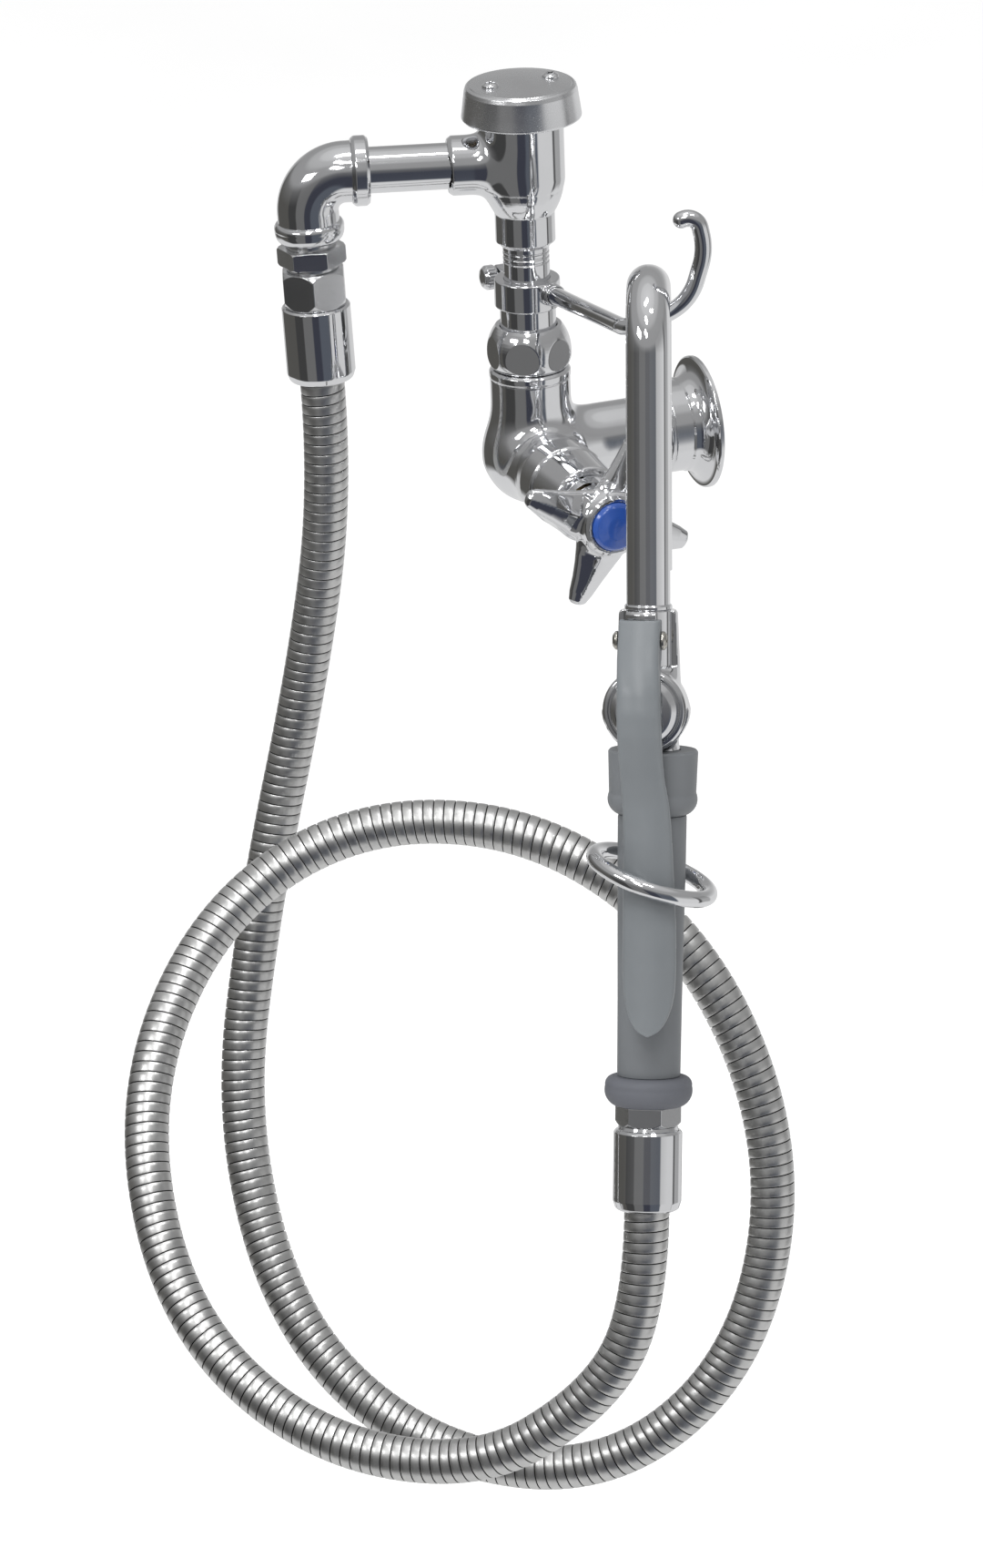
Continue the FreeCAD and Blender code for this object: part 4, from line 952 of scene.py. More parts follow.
class Ended:
    """A path carried on straight past its end."""

    def __init__(self, path, more):
        self.p, self.length = path, path.length + more

    def at(self, s):
        if s <= self.p.length:
            return self.p.at(s)
        c, t = self.p.at(self.p.length)
        return c + t * (s - self.p.length), t


rod_items = [(0, 0), (4.1, 0, 0.3), (3.85, 56.0, 40.0), (3.85, RL - 0.4, 0.1)] + [(r, z, 0.0) for r, z in tip[1:-1]] + [(0, RL + 3.83)]
rows_rod = [(0, 0), (4.1, 0, 0.3), (3.85, 56.0, 40.0)]
hook = turned("hook_rod", rows_rod + [(3.85, RL - 0.4, 0.0), (0.02, RL + 3.82, 2.72, RL + 2.72), (0, RL + 3.83)],
              path=Ended(rod_path, 4.0), seg=56, step=0.9)
dress(hook, "chrome_plate", "faucet", ["hook_arm"])


def clamp(p):
    q = RISER.inn(p)
    d = d_turned(q, [(0, 69.2), (15.1, 69.2, 0.7), (15.1, 82.4, 0.9), (0, 82.4)])
    c = np.array((-25.6, RISER_Y, 75.8))
    lug = smax(d_box(p, (-20.5, RISER_Y, 75.8), (10.4, 5.5, 5.3), 1.2), d_rod(p, c - (0, 9, 0), c + (30, 0, 0), 99), 0.1)
    rnd = smin(d_box(p, (-18.0, RISER_Y, 75.8), (7.6, 5.5, 5.3), 1.0),
               d_cyl(Place(c, (0, 1, 0)).inn(p), 5.35, -5.5, 5.5, 0.8), 0.5)
    d = smin(d, rnd, 2.5)
    r = ROD.inn(p)
    boss = d_turned(r, [(0, -8.0), (5.15, -8.0, 0.3), (5.15, 5.4, 0.6), (4.75, 6.2, 0.3), (5.1, 7.0, 0.4), (4.7, 9.0, 0.4), (0, 9.0)])
    d = smin(d, boss, 2.0)
    d = smax(d, -d_cyl(q, 10.68, 60, 95, 0.2), 0.35)
    slot = d_box(p, (-28, RISER_Y, 75.8), (18, 0.9, 20), 0.2)
    d = smax(d, -slot, 0.35)
    d = smax(d, -d_cyl(Place(c, (0, 1, 0)).inn(p), 2.25, -9, 9, 0.1), 0.25)
    return smax(d, -d_cyl(r, 4.1, -0.4, 30, 0.1), 0.2)


dress(carved("hook_clamp_casting", clamp, (-31.6, -99.6, 68.6), (24.8, -64, 84.2), 0.42), "chrome_plate", "faucet", ["hook_clamp"])


# thumbscrew with a fluted knob
def knob(p):
    d = d_turned(p, [(0, -6.4), (2.2, -6.4, 0.4), (2.2, 5.9, 0.2), (4.9, 5.9, 0.4), (5.75, 7.2, 1.0), (5.75, 10.6, 1.6), (4.4, 12.4, 1.4), (2.2, 12.9, 3.0), (0, 12.9)])
    a = np.arctan2(p[:, 1], p[:, 0])
    k = 2 * math.pi / 18
    a = (a + k / 2) % k - k / 2
    r = np.hypot(p[:, 0], p[:, 1])
    fl = np.hypot(r * np.cos(a) - 6.0, r * np.sin(a)) - 0.55
    fl = np.maximum(fl, np.abs(p[:, 2] - 9.0) - 3.2)
    return smax(d, -fl, 0.35)


dress(carved("thumb_screw", knob, (-6.3, -6.3, -6.9), (6.3, 6.3, 13.4), 0.26,
             Place((-25.6, RISER_Y, 75.8), (0, -1, 0))), "chrome_plate", "thumbscrew", ["clamp_screw"])

# ------------------------------------------------------------- vacuum breaker
def breaker(p):
    q = RISER.inn(p)
    d = d_turned(q, [(0, 98.2), (11.4, 98.2, 0.4), (12.2, 99.4, 0.4), (13.7, 100.3, 0.6), (13.7, 114.0, 3.0), (18.2, 125.8, 16.6, 119.8),
                     (19.0, 132.0, 18.85, 128.8), (19.0, 157.6, 0.5), (0, 157.6)])
    t = PORT.inn(p)
    collar = d_turned(t, [(0, 4), (13.75, 4, 0.5), (13.75, 32.6, 0.9), (12.3, 34.6, 0.7), (0, 34.6)])
    d = smin(d, collar, 9.0)
    cut = d_turned(q, [(0, 96), (10.65, 96), (10.65, 110.2, 0.1), (8.4, 110.2, 0.1), (8.4, 111.6, 0.3), (10.6, 113.0, 0.3), (10.6, 119, 0.3),
                       (7.0, 123.4, 0.3), (7.0, 126.2, 0.2), (9.6, 126.2, 0.2), (9.6, 124.6, 0.2), (15.0, 124.6, 0.3), (15.0, 150.6, 0.2), (17.5, 150.6, 0.2), (17.5, 160, 0.1), (0, 160)], 0.2)
    port = d_turned(t, [(0, 8), (7.0, 8, 0.1), (7.0, 24.0, 0.2), (10.65, 24.0, 0.2), (10.65, 36, 0.1), (0, 36)], 0.2)
    return smax(d, -np.minimum(cut, port), 0.35)


dress(carved("breaker_body", breaker, (-30, -119, 97.6), (20.5, -63, 158.4), 0.62), "chrome_plate", "faucet", ["vacuum_breaker_body"])

dress(turned("breaker_hood", [
    (0, 174.2), (22.6, 172.8, 0.4), (24.2, 170.8, 23.8, 172.4), (25.2, 159.4, 0.2), (26.4, 158.85, 25.6, 159.0),
    (27.45, 160.4, 27.3, 159.4), (25.9, 172.2, 2.0), (25.3, 174.0, 0.6), (24.5, 174.65, 0.3), (24.1, 174.65, 0.2), (23.75, 174.35, 0.2), (23.3, 174.95, 0.3),
    (20.0, 175.3, 3.0), (0, 176.4)], RISER, seg=176), "dark_chrome", "faucet", ["hood"])


# domed screws with a cross recess
def pan_screw(head_r, z0, z1, shank_r, shank_z, sl=0.55):
    def f(p):
        d = d_turned(p, [(0, shank_z), (shank_r, shank_z, 0.3), (shank_r, z0, 0.2), (head_r, z0, 0.35), (head_r * 0.96, z0 + (z1 - z0) * 0.45, 0.8),
                         (head_r * 0.62, z0 + (z1 - z0) * 0.88, 1.4), (0, z1)])
        x = np.minimum(np.maximum(np.abs(p[:, 0]) - sl, np.abs(p[:, 1]) - head_r * 0.56),
                       np.maximum(np.abs(p[:, 1]) - sl, np.abs(p[:, 0]) - head_r * 0.56))
        x = np.maximum(x, (z1 - 1.3) - p[:, 2])
        return smax(d, -x, 0.25)
    return f


heads = []
for sy in (-1, 1):
    pl = Place((-0.97 * sy, RISER_Y + sy * 14.97, 0), (0, 0, 1), (1, 0.5 * sy, 0))
    heads.append(carved("hood_screw_%s" % ("a" if sy < 0 else "b"), pan_screw(4.0, 175.35, 177.85, 1.6, 164.0),
                        (-4.4, -4.4, 163.6), (4.4, 4.4, 178.3), 0.2, pl))
dress(heads[0], "chrome_plate", "faucet", ["hood_screws"])
dress(heads[1], "chrome_plate", "faucet")

# ---------------------------------------------------------- outlet and elbow
dress(turned("outlet_pipe", [(7.9, 24.2), (10.65, 24.2), (10.65, 82.0), (7.9, 82.0)], PORT, seg=128), "chrome_plate", "faucet", ["outlet_nipple"])

el_path = Path([tuple(CORNER - PORT_DIR * 29.1), tuple(CORNER), tuple(CORNER + LEG_DIR * 31.6)], [17.4])
EL = el_path.length
el_items = [(10.66, 0, 0.2), (14.9, 0, 0.4), (16.15, 1.4, 1.2), (16.15, 6.4, 1.4), (15.0, 7.8, 0.4), (14.15, 8.2, 0.2), (14.1, 9.4, 0.6),
            (14.1, EL - 9.1, 0.15), (15.1, EL - 8.7, 0.5), (15.9, EL - 5.6, 15.85, EL - 7.6), (15.4, EL - 2.3, 15.85, EL - 3.8), (12.0, EL, 14.1, EL - 0.5), (10.0, EL, 0.2),
            (10.0, EL - 10.6, 0.2), (7.6, EL - 12.0, 0.2), (7.6, 13.0, 0.2), (10.66, 12.0, 0.2)]
dress(turned("outlet_elbow", el_items, path=el_path, seg=128, step=1.1), "cast_chrome", "faucet", ["elbow"])

dress(carved("hose_adapter_nut", lambda p: smax(smin(
    smax(d_turned(p, [(0, 34.3), (15.0, 34.3, 0.2), (15.9, 35.2, 0.3), (15.9, 41.9, 0.3), (15.0, 42.8, 0.2), (0, 42.8)], 0.2), d_hex(p, 27.5, 0.25, 2.2), 0.25),
    d_turned(p, [(0, 20.7), (9.95, 20.7, 0.3), (9.95, 31.7, 0.2), (11.35, 31.7, 0.3), (11.35, 34.9, 0.2), (12.0, 34.9), (12.1, 42.2, 0.2), (12.1, 45.0, 0.2), (9.4, 45.0, 0.2), (9.4, 53.0, 0.2), (0, 53.0)], 0.2), 0.1),
    -d_cyl(p, 7.0, 15, 60, 0.2), 0.2), (-16.6, -16.6, 20.2), (16.6, 16.6, 53.4), 0.42, LEG), "nut_chrome", "faucet", ["hose_adapter"])
dress(carved("hose_union_nut", lambda p: smax(smax(
    d_turned(p, [(0, 45.05), (13.9, 45.05, 0.3), (14.9, 46.2, 0.5), (16.1, 48.0, 0.8), (16.1, 58.6, 1.0), (14.4, 62.0, 0.8), (13.9, 62.6, 0.2), (0, 62.6)], 0.2),
    d_hex(p, 27.8, 0.3, 30.0), 0.3),
    -d_turned(p, [(0, 40), (9.45, 40), (9.45, 54.8, 0.2), (7.0, 54.8, 0.2), (7.0, 70), (0, 70)], 0.2), 0.2),
    (-16.8, -16.8, 44.6), (16.8, 16.8, 63.1), 0.42, LEG), "nut_chrome", "faucet", ["hose_nut"])
dress(turned("hose_ferrule_top", [
    (7.0, 62.6), (14.9, 62.6, 0.2), (15.75, 63.4, 0.4), (15.75, 94.6, 2.6),
    (14.6, 97.8, 1.4), (12.4, 98.6, 0.5), (10.3, 98.6, 0.3), (10.3, 92.0, 0.2), (7.0, 92.0)], LEG, seg=144), "chrome_plate", "faucet", ["upper_ferrule"])

# ================================================================ tap handle
ARM = np.array([
    (0.0, 96.2, 13.2, 6.8), (7.5, 96.2, 12.6, 6.6), (15.0, 96.8, 11.2, 6.0), (22.0, 96.4, 9.0, 5.2), (29.0, 95.6, 7.1, 4.5),
    (36.0, 94.6, 5.6, 3.8), (40.2, 94.0, 4.2, 3.0), (42.0, 93.7, 2.6, 1.6), (44.0, 93.4, 1.2, 0.6)])


def tap_handle(p):
    d = d_turned(p, [(0, 73.6), (9.4, 73.6, 0.4), (9.9, 74.4, 0.4), (11.4, 78.0, 4.0), (12.4, 84.0, 5.0), (13.8, 90.0, 4.0), (15.2, 96.5, 3.0),
                     (15.3, 101.5, 2.0), (14.4, 104.2, 1.0), (12.9, 105.35, 0.5), (0, 105.35)])
    # eight shallow flutes round the neck
    a = np.arctan2(p[:, 1], p[:, 0])
    r = np.hypot(p[:, 0], p[:, 1])
    kf = 2 * math.pi / 8
    af = (a + math.radians(23.0)) % kf - kf / 2
    neck = r * np.cos(af) - (10.6 + np.clip(p[:, 2] - 76.0, 0, 20) * 0.17)
    neck = np.where(p[:, 2] < 92.0, neck, neck - (p[:, 2] - 92.0) * 0.8)
    d = smax(d, neck, 0.8)
    for deg in (-23.0, 67.0, 157.0, 247.0):
        c, s = math.cos(math.radians(deg)), math.sin(math.radians(deg))
        u = p[:, 0] * c + p[:, 1] * s
        v = -p[:, 0] * s + p[:, 1] * c
        uc = np.clip(u, 0, 44)
        t0 = np.interp(uc, ARM[:, 0], ARM[:, 1])
        hw = np.interp(uc, ARM[:, 0], ARM[:, 2])
        ht = np.interp(uc, ARM[:, 0], ARM[:, 3])
        w = p[:, 2] - t0
        g = (np.sqrt((v / hw) ** 2 + (w / ht) ** 2) - 1) * ht
        # front of the arm: two planes that meet in a ridge
        roof = (w - ht * 0.99 + np.abs(v) * 0.34 * np.clip((u - 9.0) / 9.0, 0, 1)) * 0.95
        g = smax(g, roof, 1.4)
        g = smax(g, u - 41.9, 2.0)
        g = smax(g, -u, 0.5)
        d = smin(d, g, 2.6)
    d = smax(d, p[:, 2] - 105.4, 0.3)
    d = smax(d, -d_turned(p, [(0, 100.0), (11.5, 100.0, 0.2), (11.5, 112), (0, 112)], 0.2), 0.4)
    core = d_turned(p, [(0, 70), (6.1, 70), (6.1, 80.2, 0.2), (4.95, 80.2, 0.2), (4.95, 94.2, 0.2), (2.3, 94.2, 0.1), (2.3, 96.6, 0.1), (5.2, 96.6, 0.2), (5.2, 101), (0, 101)], 0.1)
    return smax(d, -core, 0.2)


dress(carved("four_arm_handle_casting", tap_handle, (-43, -43, 72.8), (43, 43, 106.4), 0.62, STEM), "handle_chrome", "tap_handle", ["four_arm_handle"])
dress(turned("index_button_dome", [
    (0, 100.0), (11.1, 100.0, 0.2), (11.3, 100.3, 0.1), (11.3, 105.9, 0.5), (10.1, 107.5, 2.2), (5.2, 108.85, 6.0), (0, 109.15)],
    STEM, seg=128), "blue_button", "tap_handle", ["index_button"])

# =================================================================== handset
noz_path = Path([tuple(HS_ORG - HU * 54.0 - HZ * 103.0), tuple(HS_ORG - HU * 54.0 + HZ * 27.0),
                 tuple(HS_ORG + HZ * 27.0), tuple(HS_ORG - HZ * 126.0)], [27.0, 27.0])
NL = noz_path.length
noz_items = [(8.3, 0, 0.25), (9.8, 0, 0.45), (9.8, NL - 13.4, 0.1), (10.3, NL - 13.3, 0.15), (10.7, NL - 12.6, 0.25), (10.7, NL - 11.4, 0.3), (9.8, NL - 11.0, 0.1),
             (9.8, NL, 0.2), (8.2, NL, 0.2)]
dress(turned("hook_nozzle_tube", noz_items, path=noz_path, seg=104, step=1.6, first=HU), "nozzle_chrome", "handset", ["hook_nozzle"])


# spray valve: yoke round the nozzle's foot, cross bore, neck
def spray_valve(p):
    s = -p[:, 2]                       # station down the axis
    q = np.stack([p[:, 0], p[:, 1], s], 1)
    yoke = d_turned(q, [(0, 115.2), (12.3, 115.2, 0.5), (13.2, 116.5, 0.8), (14.3, 146.0, 6.0), (13.4, 176.0, 1.0), (12.6, 177.2, 0.4), (0, 177.2)])
    low = LOW.inn(HAND.out(p))
    neck = d_turned(low, [(0, 172.0), (10.8, 172.0, 0.4), (12.0, 177.4, 1.0), (12.0, 196.0, 0.3), (0, 196.0)])
    yoke = smin(yoke, neck, 0.6)
    c = np.stack([q[:, 2] - VALVE_S, p[:, 1], p[:, 0]], 1)
    drum = d_turned(c, [(0, -13.0), (12.0, -13.0, 2.0), (16.6, -9.0, 3.0), (19.3, 3.0, 2.0), (19.65, 9.8, 0.6), (19.65, 11.9, 0.5), (19.2, 12.4, 0.3), (0, 12.4)])
    drum = smax(drum, d_hex(c - np.array((2.6, 0, 0)), 36.2, 1.2, 30.0), 0.8)
    drum = smax(drum, s - 177.2, 0.4)
    d = smin(yoke, drum, 3.0)
    over = d_turned(c, [(0, 12.4), (21, 12.4), (21, 32), (0, 32)], 0.1)
    d = smax(d, -over, 0.3)
    for sy in (-1, 1):
        flat = d_box(p, (17.0, PIV_Y + sy * 14.5, -125.1), (13.5, 7.5, 15.1), 0.4)
        d = smax(d, -smax(flat, -d_cyl(q, 11.1, 100, 150, 0.1), 0.2), 0.4)
    lug = smin(d_box(p, (8.4, PIV_Y, -127.0), (5.4, 6.95, 7.4), 0.4),
               d_cyl(np.stack([q[:, 2] - PIVOT_S, p[:, 0] - PIVOT_X, p[:, 1] - PIV_Y], 1), 4.3, -6.95, 6.95, 0.4), 0.6)
    d = smin(d, lug, 0.6)
    top = d_turned(q, [(0, 110), (9.84, 110), (9.84, 126.2, 0.2), (0, 126.2)], 0.1)
    core = d_turned(c, [(0, -10.5), (11.0, -10.5, 0.3), (11.0, 14), (0, 14)], 0.2)
    r1 = d_cyl(np.stack([p[:, 0] - 4.0, p[:, 1], s], 1), 4.2, 124, 156, 0.2)
    r2 = d_cyl(np.stack([p[:, 0] + 6.2, p[:, 1], s], 1), 4.0, 162, 185, 0.2)
    r3 = d_turned(low, [(0, 182), (7.4, 182), (7.4, 188, 0.1), (9.0, 188, 0.1), (9.0, 198), (0, 198)], 0.1)
    pin = d_cyl(np.stack([q[:, 2] - PIVOT_S, p[:, 0] - PIVOT_X, p[:, 1] - PIV_Y], 1), 2.5, -9, 9, 0.1)
    cut = top
    for e in (core, r1, r2, r3, pin):
        cut = np.minimum(cut, e)
    return smax(d, -cut, 0.3)


dress(carved("spray_valve_casting", spray_valve, (-20, -20.6, -197), (19.5, 20.6, -114.6), 0.56, HAND), "chrome_plate", "handset", ["spray_valve_body"])
dress(turned("spray_valve_cap", [
    (3.06, 8.0), (10.9, 8.0), (10.9, 12.45), (18.75, 12.45, 0.4), (18.75, 16.2, 1.0), (17.8, 17.6, 0.8), (16.4, 17.9, 0.4), (16.0, 17.2, 0.2),
    (15.2, 17.2, 0.2), (14.8, 19.6, 1.0), (12.6, 21.6, 2.0), (8.2, 22.0, 1.0), (7.0, 24.6, 1.0), (4.3, 25.4, 0.5), (3.06, 25.4, 0.2)],
    CROSS, seg=144), "chrome_plate", "handset", ["valve_cap"])

pins = []
for sy in (-1, 1):
    pl = Place(HAND.out(np.array((PIVOT_X, PIV_Y, -PIVOT_S))), HY * sy, HX)
    pins.append(carved("pivot_screw_%s" % ("l" if sy < 0 else "r"), pan_screw(4.3, 9.7, 12.5, 2.5, 2.0, 0.5),
                       (-4.7, -4.7, 1.6), (4.7, 4.7, 13.0), 0.22, pl))
dress(pins[0], "steel_screw", "handset", ["pivot_screws"])
dress(pins[1], "steel_screw", "handset")

dress(turned("guard_cup", [
    (12.35, 177.6, 0.3), (19.3, 177.6, 0.5), (20.1, 178.6, 0.5), (19.5, 197.0, 3.0), (15.2, 206.8, 18.6, 204.4), (13.2, 206.9, 0.3),
    (13.2, 199.9), (12.35, 199.9)], LOW, seg=144), "grip_grey", "handset", ["guard_collar"])
dress(turned("grip_sleeve", [
    (9.2, 199.95), (13.1, 199.95), (13.1, 207.0, 0.1), (15.2, 207.0, 0.3), (15.4, 208.0, 0.5), (15.3, 228.0, 30.0), (14.45, 290.0, 60.0), (14.2, 322.8, 2.0),
    (14.0, 324.6, 0.3), (9.2, 324.6)], LOW, seg=144), "grip_grey", "handset", ["grip"])
dress(turned("bumper", [
    (9.2, 324.7), (15.2, 324.7, 0.6), (19.5, 329.2, 18.6, 326.0), (15.5, 338.0, 18.6, 335.2), (14.8, 338.2, 0.3), (9.2, 338.2)],
    LOW, seg=144), "bumper_grey", "handset", ["bumper_ring"])
dress(carved("lower_union_nut", lambda p: smax(smax(
    d_turned(p, [(0, 338.3), (15.0, 338.3, 0.2), (15.1, 345.2, 0.6), (13.2, 347.2, 0.3), (0, 347.2)], 0.2),
    d_hex(p, 25.9, 0.3, 30.0), 0.3), -d_cyl(p, 8.95, 330, 350, 0.1), 0.2),
    (-15.8, -15.8, 337.9), (15.8, 15.8, 347.7), 0.4, LOW), "nut_chrome", "handset", ["lower_hex_nut"])
dress(turned("hose_ferrule_bottom", [
    (7.0, 349.2), (8.9, 349.2), (8.9, 347.25), (13.2, 347.25, 0.3), (13.8, 348.8, 0.5), (14.6, 349.0, 0.3), (15.4, 350.2, 0.6), (15.4, 381.2, 2.4),
    (14.3, 384.6, 1.6), (12.6, 385.65, 0.6), (10.3, 385.65, 0.3), (10.3, 380.0, 0.2), (7.0, 380.0)], LOW, seg=144), "chrome_plate", "handset", ["lower_ferrule"])

# ------------------------------------------------------------- squeeze lever
LEVER = np.array([
    (116.0, 17.6, 2.2, 10.4, 9.4, -2.05), (118.4, 18.8, 2.2, 10.4, 9.4, -2.05), (123.0, 21.4, 2.3, 10.4, 9.4, -2.05), (129.0, 24.6, 2.4, 10.4, 9.4, -2.05),
    (134.5, 27.8, 2.5, 12.4, 9.4, -1.95), (140.0, 30.9, 2.6, 20.5, 9.5, -1.6), (148.0, 34.4, 2.7, 25.0, 9.7, -1.0),
    (158.6, 36.4, 2.8, 28.0, 9.9, -0.8), (169.0, 35.6, 2.8, 28.0, 9.9, -0.6), (179.0, 33.1, 2.8, 27.0, 9.9, -0.3),
    (189.0, 30.4, 2.9, 25.0, 10.0, 0.3), (199.0, 28.7, 3.2, 23.2, 10.6, 1.4), (210.0, 28.0, 3.9, 21.7, 10.9, 1.9),
    (222.0, 28.1, 4.6, 20.9, 11.2, 2.1), (236.0, 28.6, 5.2, 21.0, 11.6, 2.4), (256.0, 29.7, 5.2, 22.0, 12.1, 2.8),
    (280.0, 31.0, 5.2, 23.4, 12.2, 2.8), (304.0, 32.3, 5.2, 24.9, 12.2, 2.8)])
TIP = np.array([(100.0, 19.0), (257.0, 19.0), (259.0, 14.8), (268.0, 13.2), (276.0, 12.3), (284.0, 11.5), (290.0, 10.3), (295.0, 8.6), (299.0, 6.4), (301.5, 4.0), (303.0, 0.0), (306.0, -6.0)])


def smooth_table(table, lo, hi, step=0.5, width=4.0):
    """Dense rows of a table, eased over a few millimetres."""
    s = np.arange(lo, hi, step)
    n = int(width / step)
    k = np.hanning(2 * n + 3)[1:-1]
    k /= k.sum()
    cols = []
    for c in range(1, table.shape[1]):
        y = np.interp(s, table[:, 0], table[:, c])
        y = np.convolve(np.pad(y, n, mode="edge"), k, mode="valid")
        cols.append(y)
    return s, cols


LS, LC = smooth_table(LEVER, 112.0, 308.0)
TS, TC = smooth_table(TIP, 112.0, 308.0, width=2.0)


def channel(p, skin, low):
    s = -p[:, 2]
    f, sag, edge, w, mid = (np.interp(s, LS, c) for c in LC)
    tipw = np.interp(s, TS, TC[0])
    y = np.abs(p[:, 1] - mid)
    crown = p[:, 0] - (f - skin - sag * np.minimum((y / w) ** 2, 1.6))
    crown = crown * 0.93
    side = y - (w - skin)
    d = smax(crown, side, 3.6 if skin == 0 else 2.0)
    d = smax(d, (y - (tipw - (1.9 if skin else 0.0))) * 0.85, 1.5 if skin == 0 else 0.6)
    if low:
        d = smax(d, edge - p[:, 0], 0.7)
        d = smax(d, 118.4 - s, 1.2)
    return d


def lever(p):
    d = smax(channel(p, 0.0, True), -channel(p, 2.2, False), 0.7)
    c = np.stack([-p[:, 2] - PIVOT_S, p[:, 0] - PIVOT_X, p[:, 1]], 1)
    return smax(d, -d_cyl(c, 2.56, -13, 13, 0.1), 0.3)


dress(carved("squeeze_lever_channel", lever, (7.0, -14.2, -304.5), (38.0, 16.4, -116.6), 0.62, HAND), "lever_grey", "lever", ["squeeze_lever"])


# ------------------------------------------------------------ hold-down ring
def ring_mesh():
    nu, nv = 168, 36
    u, v = np.meshgrid(np.linspace(0, 2 * math.pi, nu, endpoint=False), np.linspace(0, 2 * math.pi, nv, endpoint=False), indexing="ij")
    R, r = 27.0, 3.75
    P = np.stack([(R + r * np.cos(v)) * np.cos(u), (R + r * np.cos(v)) * np.sin(u), r * np.sin(v)], -1).reshape(-1, 3)
    N = np.stack([np.cos(v) * np.cos(u), np.cos(v) * np.sin(u), np.sin(v)], -1).reshape(-1, 3)
    a, b = math.radians(5.3), math.radians(-20.0)
    Ry = np.array([[math.cos(a), 0, math.sin(a)], [0, 1, 0], [-math.sin(a), 0, math.cos(a)]])
    Rx = np.array([[1, 0, 0], [0, math.cos(b), -math.sin(b)], [0, math.sin(b), math.cos(b)]])
    M = Rx @ Ry
    P = P @ M.T + np.array((6.7, 2.0, -233.3))
    N = N @ M.T
    faces = []
    for i in range(nu):
        for j in range(nv):
            i2, j2 = (i + 1) % nu, (j + 1) % nv
            faces.append((i * nv + j, i2 * nv + j, i2 * nv + j2, i * nv + j2))
    return new_piece("hold_down_wire_ring", HAND.out(P) * MM, faces, HAND.turn(N))


dress(ring_mesh(), "nozzle_chrome", "ring", ["hold_down_ring"])

# ================================================= CAD nodes that stay in view
CARRIED = {
    "inlet_washer": "fibre", "seat_seal": "black_rubber", "fixed_ceramic_disc": "white_ceramic", "turning_ceramic_disc": "white_ceramic",
    "cartridge_housing": "brass_inner", "riser_gasket": "fibre", "air_inlet_seat": "brass_inner", "upper_hose_washer": "fibre",
    "stem": "brass_inner", "stem_o_ring": "black_rubber", "handle_screw": "steel_screw", "poppet": "grip_grey", "poppet_seal": "black_rubber",
    "valve_seat": "brass_inner", "handle_tube": "brass_inner", "lower_hose_washer": "fibre", "valve_spring": "spring_steel",
    "plunger": "steel_screw", "valve_washer": "black_rubber", "plunger_o_ring": "black_rubber"}
for node, mat in CARRIED.items():
    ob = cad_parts[node]
    ob.data.materials.clear()
    ob.data.materials.append(MATS[mat])

# ============================================================ floor and light
me = bpy.data.meshes.new("studio_floor")
bm = bmesh.new()
bmesh.ops.create_grid(bm, x_segments=8, y_segments=8, size=14.0)
for v in bm.verts:
    v.co.z = -0.86
bm.to_mesh(me)
bm.free()
floor = bpy.data.objects.new("studio_floor", me)
bpy.context.scene.collection.objects.link(floor)
m, k, b = material("floor_white")
fl = noise(k, coords(k), 3.0, 3.0, 0.5)
k.link(k.ramp(fl, [(0.3, 0.90), (0.7, 0.93)]), b.inputs["Base Color"])
b.inputs["Roughness"].default_value = 0.9
b.inputs["Specular IOR Level"].default_value = 0.1
b.inputs["Emission Color"].default_value = (1, 1, 1, 1)
b.inputs["Emission Strength"].default_value = 0.18
me.materials.append(m)
floor.visible_glossy = False

world = bpy.data.worlds.new("studio")
bpy.context.scene.world = world
world.use_nodes = True
wt = world.node_tree
wt.nodes.clear()
w = Nodes(wt)
tc = w.new("ShaderNodeTexCoord")
rot = w.new("ShaderNodeVectorRotate", rotation_type="Z_AXIS")
rot.inputs["Angle"].default_value = math.radians(20.0)
w.link(tc.outputs["Generated"], rot.inputs["Vector"])
sep = w.new("ShaderNodeSeparateXYZ")
w.link(rot.outputs[0], sep.inputs[0])
ang = w.math("ARCTAN2", sep.outputs[1], sep.outputs[0])
fac = w.math("MULTIPLY_ADD", ang, 0.5 / math.pi, 0.5)
elev = w.math("MULTIPLY", w.math("ARCSINE", sep.outputs[2]), 180.0 / math.pi)


def bands(rows):
    out = []
    for k, (a0, a1, val) in enumerate(rows):
        v = lin(val) if isinstance(val, (int, float)) else rgb(*val)
        out.append(((a0 + 180.0) / 360.0, v))
        out.append(((a1 + 180.0) / 360.0, v))
    return out


SIDE = bands([
    (-180, -150, 204), (-147, -79, (90, 89, 86)), (-76, -48, 68), (-45, -16, 114), (-13, 6, (64, 66, 76)), (10, 40, (92, 97, 106)),
    (44, 90, 220), (93, 98, 92), (101, 123, 174), (127, 180, 220)])
side = w.ramp(fac, SIDE)
front = w.math("MULTIPLY_ADD", w.math("COSINE", ang), 1.5, 0.5, clamp=True)
ceil_f = w.math("MULTIPLY_ADD", elev, 1 / 26.0, 6.0 / 26.0, clamp=True)
low_at = w.math("MULTIPLY_ADD", front, 22.0, 22.0)
floor_f = w.math("MULTIPLY", w.math("ADD", elev, low_at), -1 / 8.0, clamp=True)
top = w.ramp(w.math("MULTIPLY", elev, 1 / 90.0, clamp=True), [
    (0.0, lin(122)), (0.12, lin(128)), (0.2, lin(158)), (0.44, lin(162)), (0.53, lin(186)), (0.66, lin(192)), (0.70, lin(208)), (1.0, lin(222))])


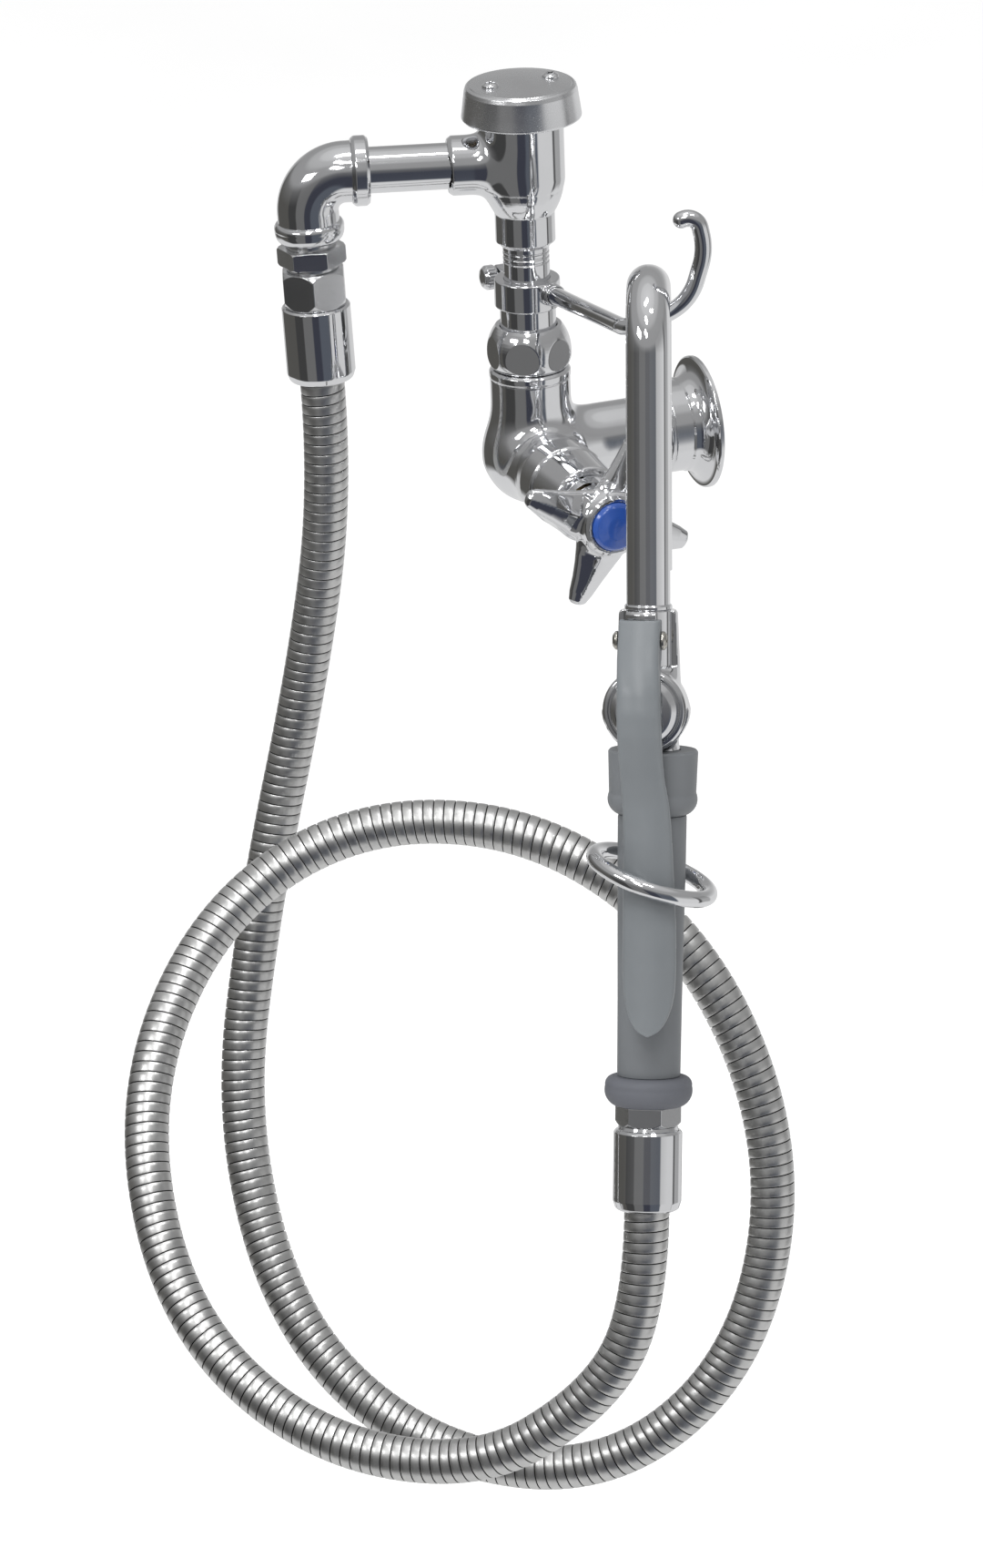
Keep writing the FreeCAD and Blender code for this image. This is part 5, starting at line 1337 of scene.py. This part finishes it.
def mix(fac_, a, b_):
    n = w.new("ShaderNodeMix", data_type="RGBA")
    w.link(fac_, n.inputs[0]) if not isinstance(fac_, (int, float)) else setattr(n.inputs[0], "default_value", fac_)
    for s_, v_ in ((6, a), (7, b_)):
        if isinstance(v_, tuple):
            n.inputs[s_].default_value = v_
        else:
            w.link(v_, n.inputs[s_])
    return n.outputs[2]


env = mix(ceil_f, side, top)
env = mix(floor_f, env, grey(lin(226)))
lp = w.new("ShaderNodeLightPath")
soft = mix(lp.outputs["Is Glossy Ray"], grey(0.80), env)
soft = mix(lp.outputs["Is Camera Ray"], soft, grey(1.0))
bg = w.new("ShaderNodeBackground")
w.link(soft, bg.inputs["Color"])
bg.inputs["Strength"].default_value = 1.0
wo = w.new("ShaderNodeOutputWorld")
w.link(bg.outputs[0], wo.inputs[0])


def lamp(name, where, aim, size, power, shape="DISK", size_y=None):
    d = bpy.data.lights.new(name, "AREA")
    d.shape = shape
    d.size = size
    if size_y:
        d.size_y = size_y
    d.energy = power
    o = bpy.data.objects.new(name, d)
    bpy.context.scene.collection.objects.link(o)
    where, aim = Vector(where), Vector(aim)
    o.location = where
    o.rotation_euler = (where - aim).to_track_quat("Z", "Y").to_euler()
    return o


def around(az, el, dist):
    """A point by its angle from the camera's side, to the right, and height."""
    a, e = math.radians(-20.0 + az), math.radians(el)
    return (0.1 + dist * math.cos(e) * math.cos(a), -0.15 + dist * math.cos(e) * math.sin(a), -0.1 + dist * math.sin(e))


CENTRE = (0.1, -0.15, -0.1)
key = lamp("key_soft", around(-30, 62, 3.0), CENTRE, 1.3, 40.0, "SQUARE")
key.visible_glossy = False
lamp("panel_left", around(-52, 34, 2.6), CENTRE, 0.95, 9.0, "RECTANGLE", 0.45)
for nm, az, el, size in (("spot_a", -13, 42, 0.34), ("spot_b", -5, 38, 0.34), ("spot_c", -14, 60, 0.34), ("spot_d", -3, 56, 0.34),
                         ("spot_e", 6, 86, 0.40), ("spot_f", -40, 80, 0.40), ("spot_g", 40, 66, 0.26), ("spot_h", 53, 62, 0.26)):
    lamp(nm, around(az, el, 2.6), CENTRE, size, 3.0)

sc = bpy.context.scene
sc.view_settings.view_transform = "Standard"
sc.view_settings.look = "None"
sc.view_settings.exposure = 0.0
sc.view_settings.gamma = 1.0
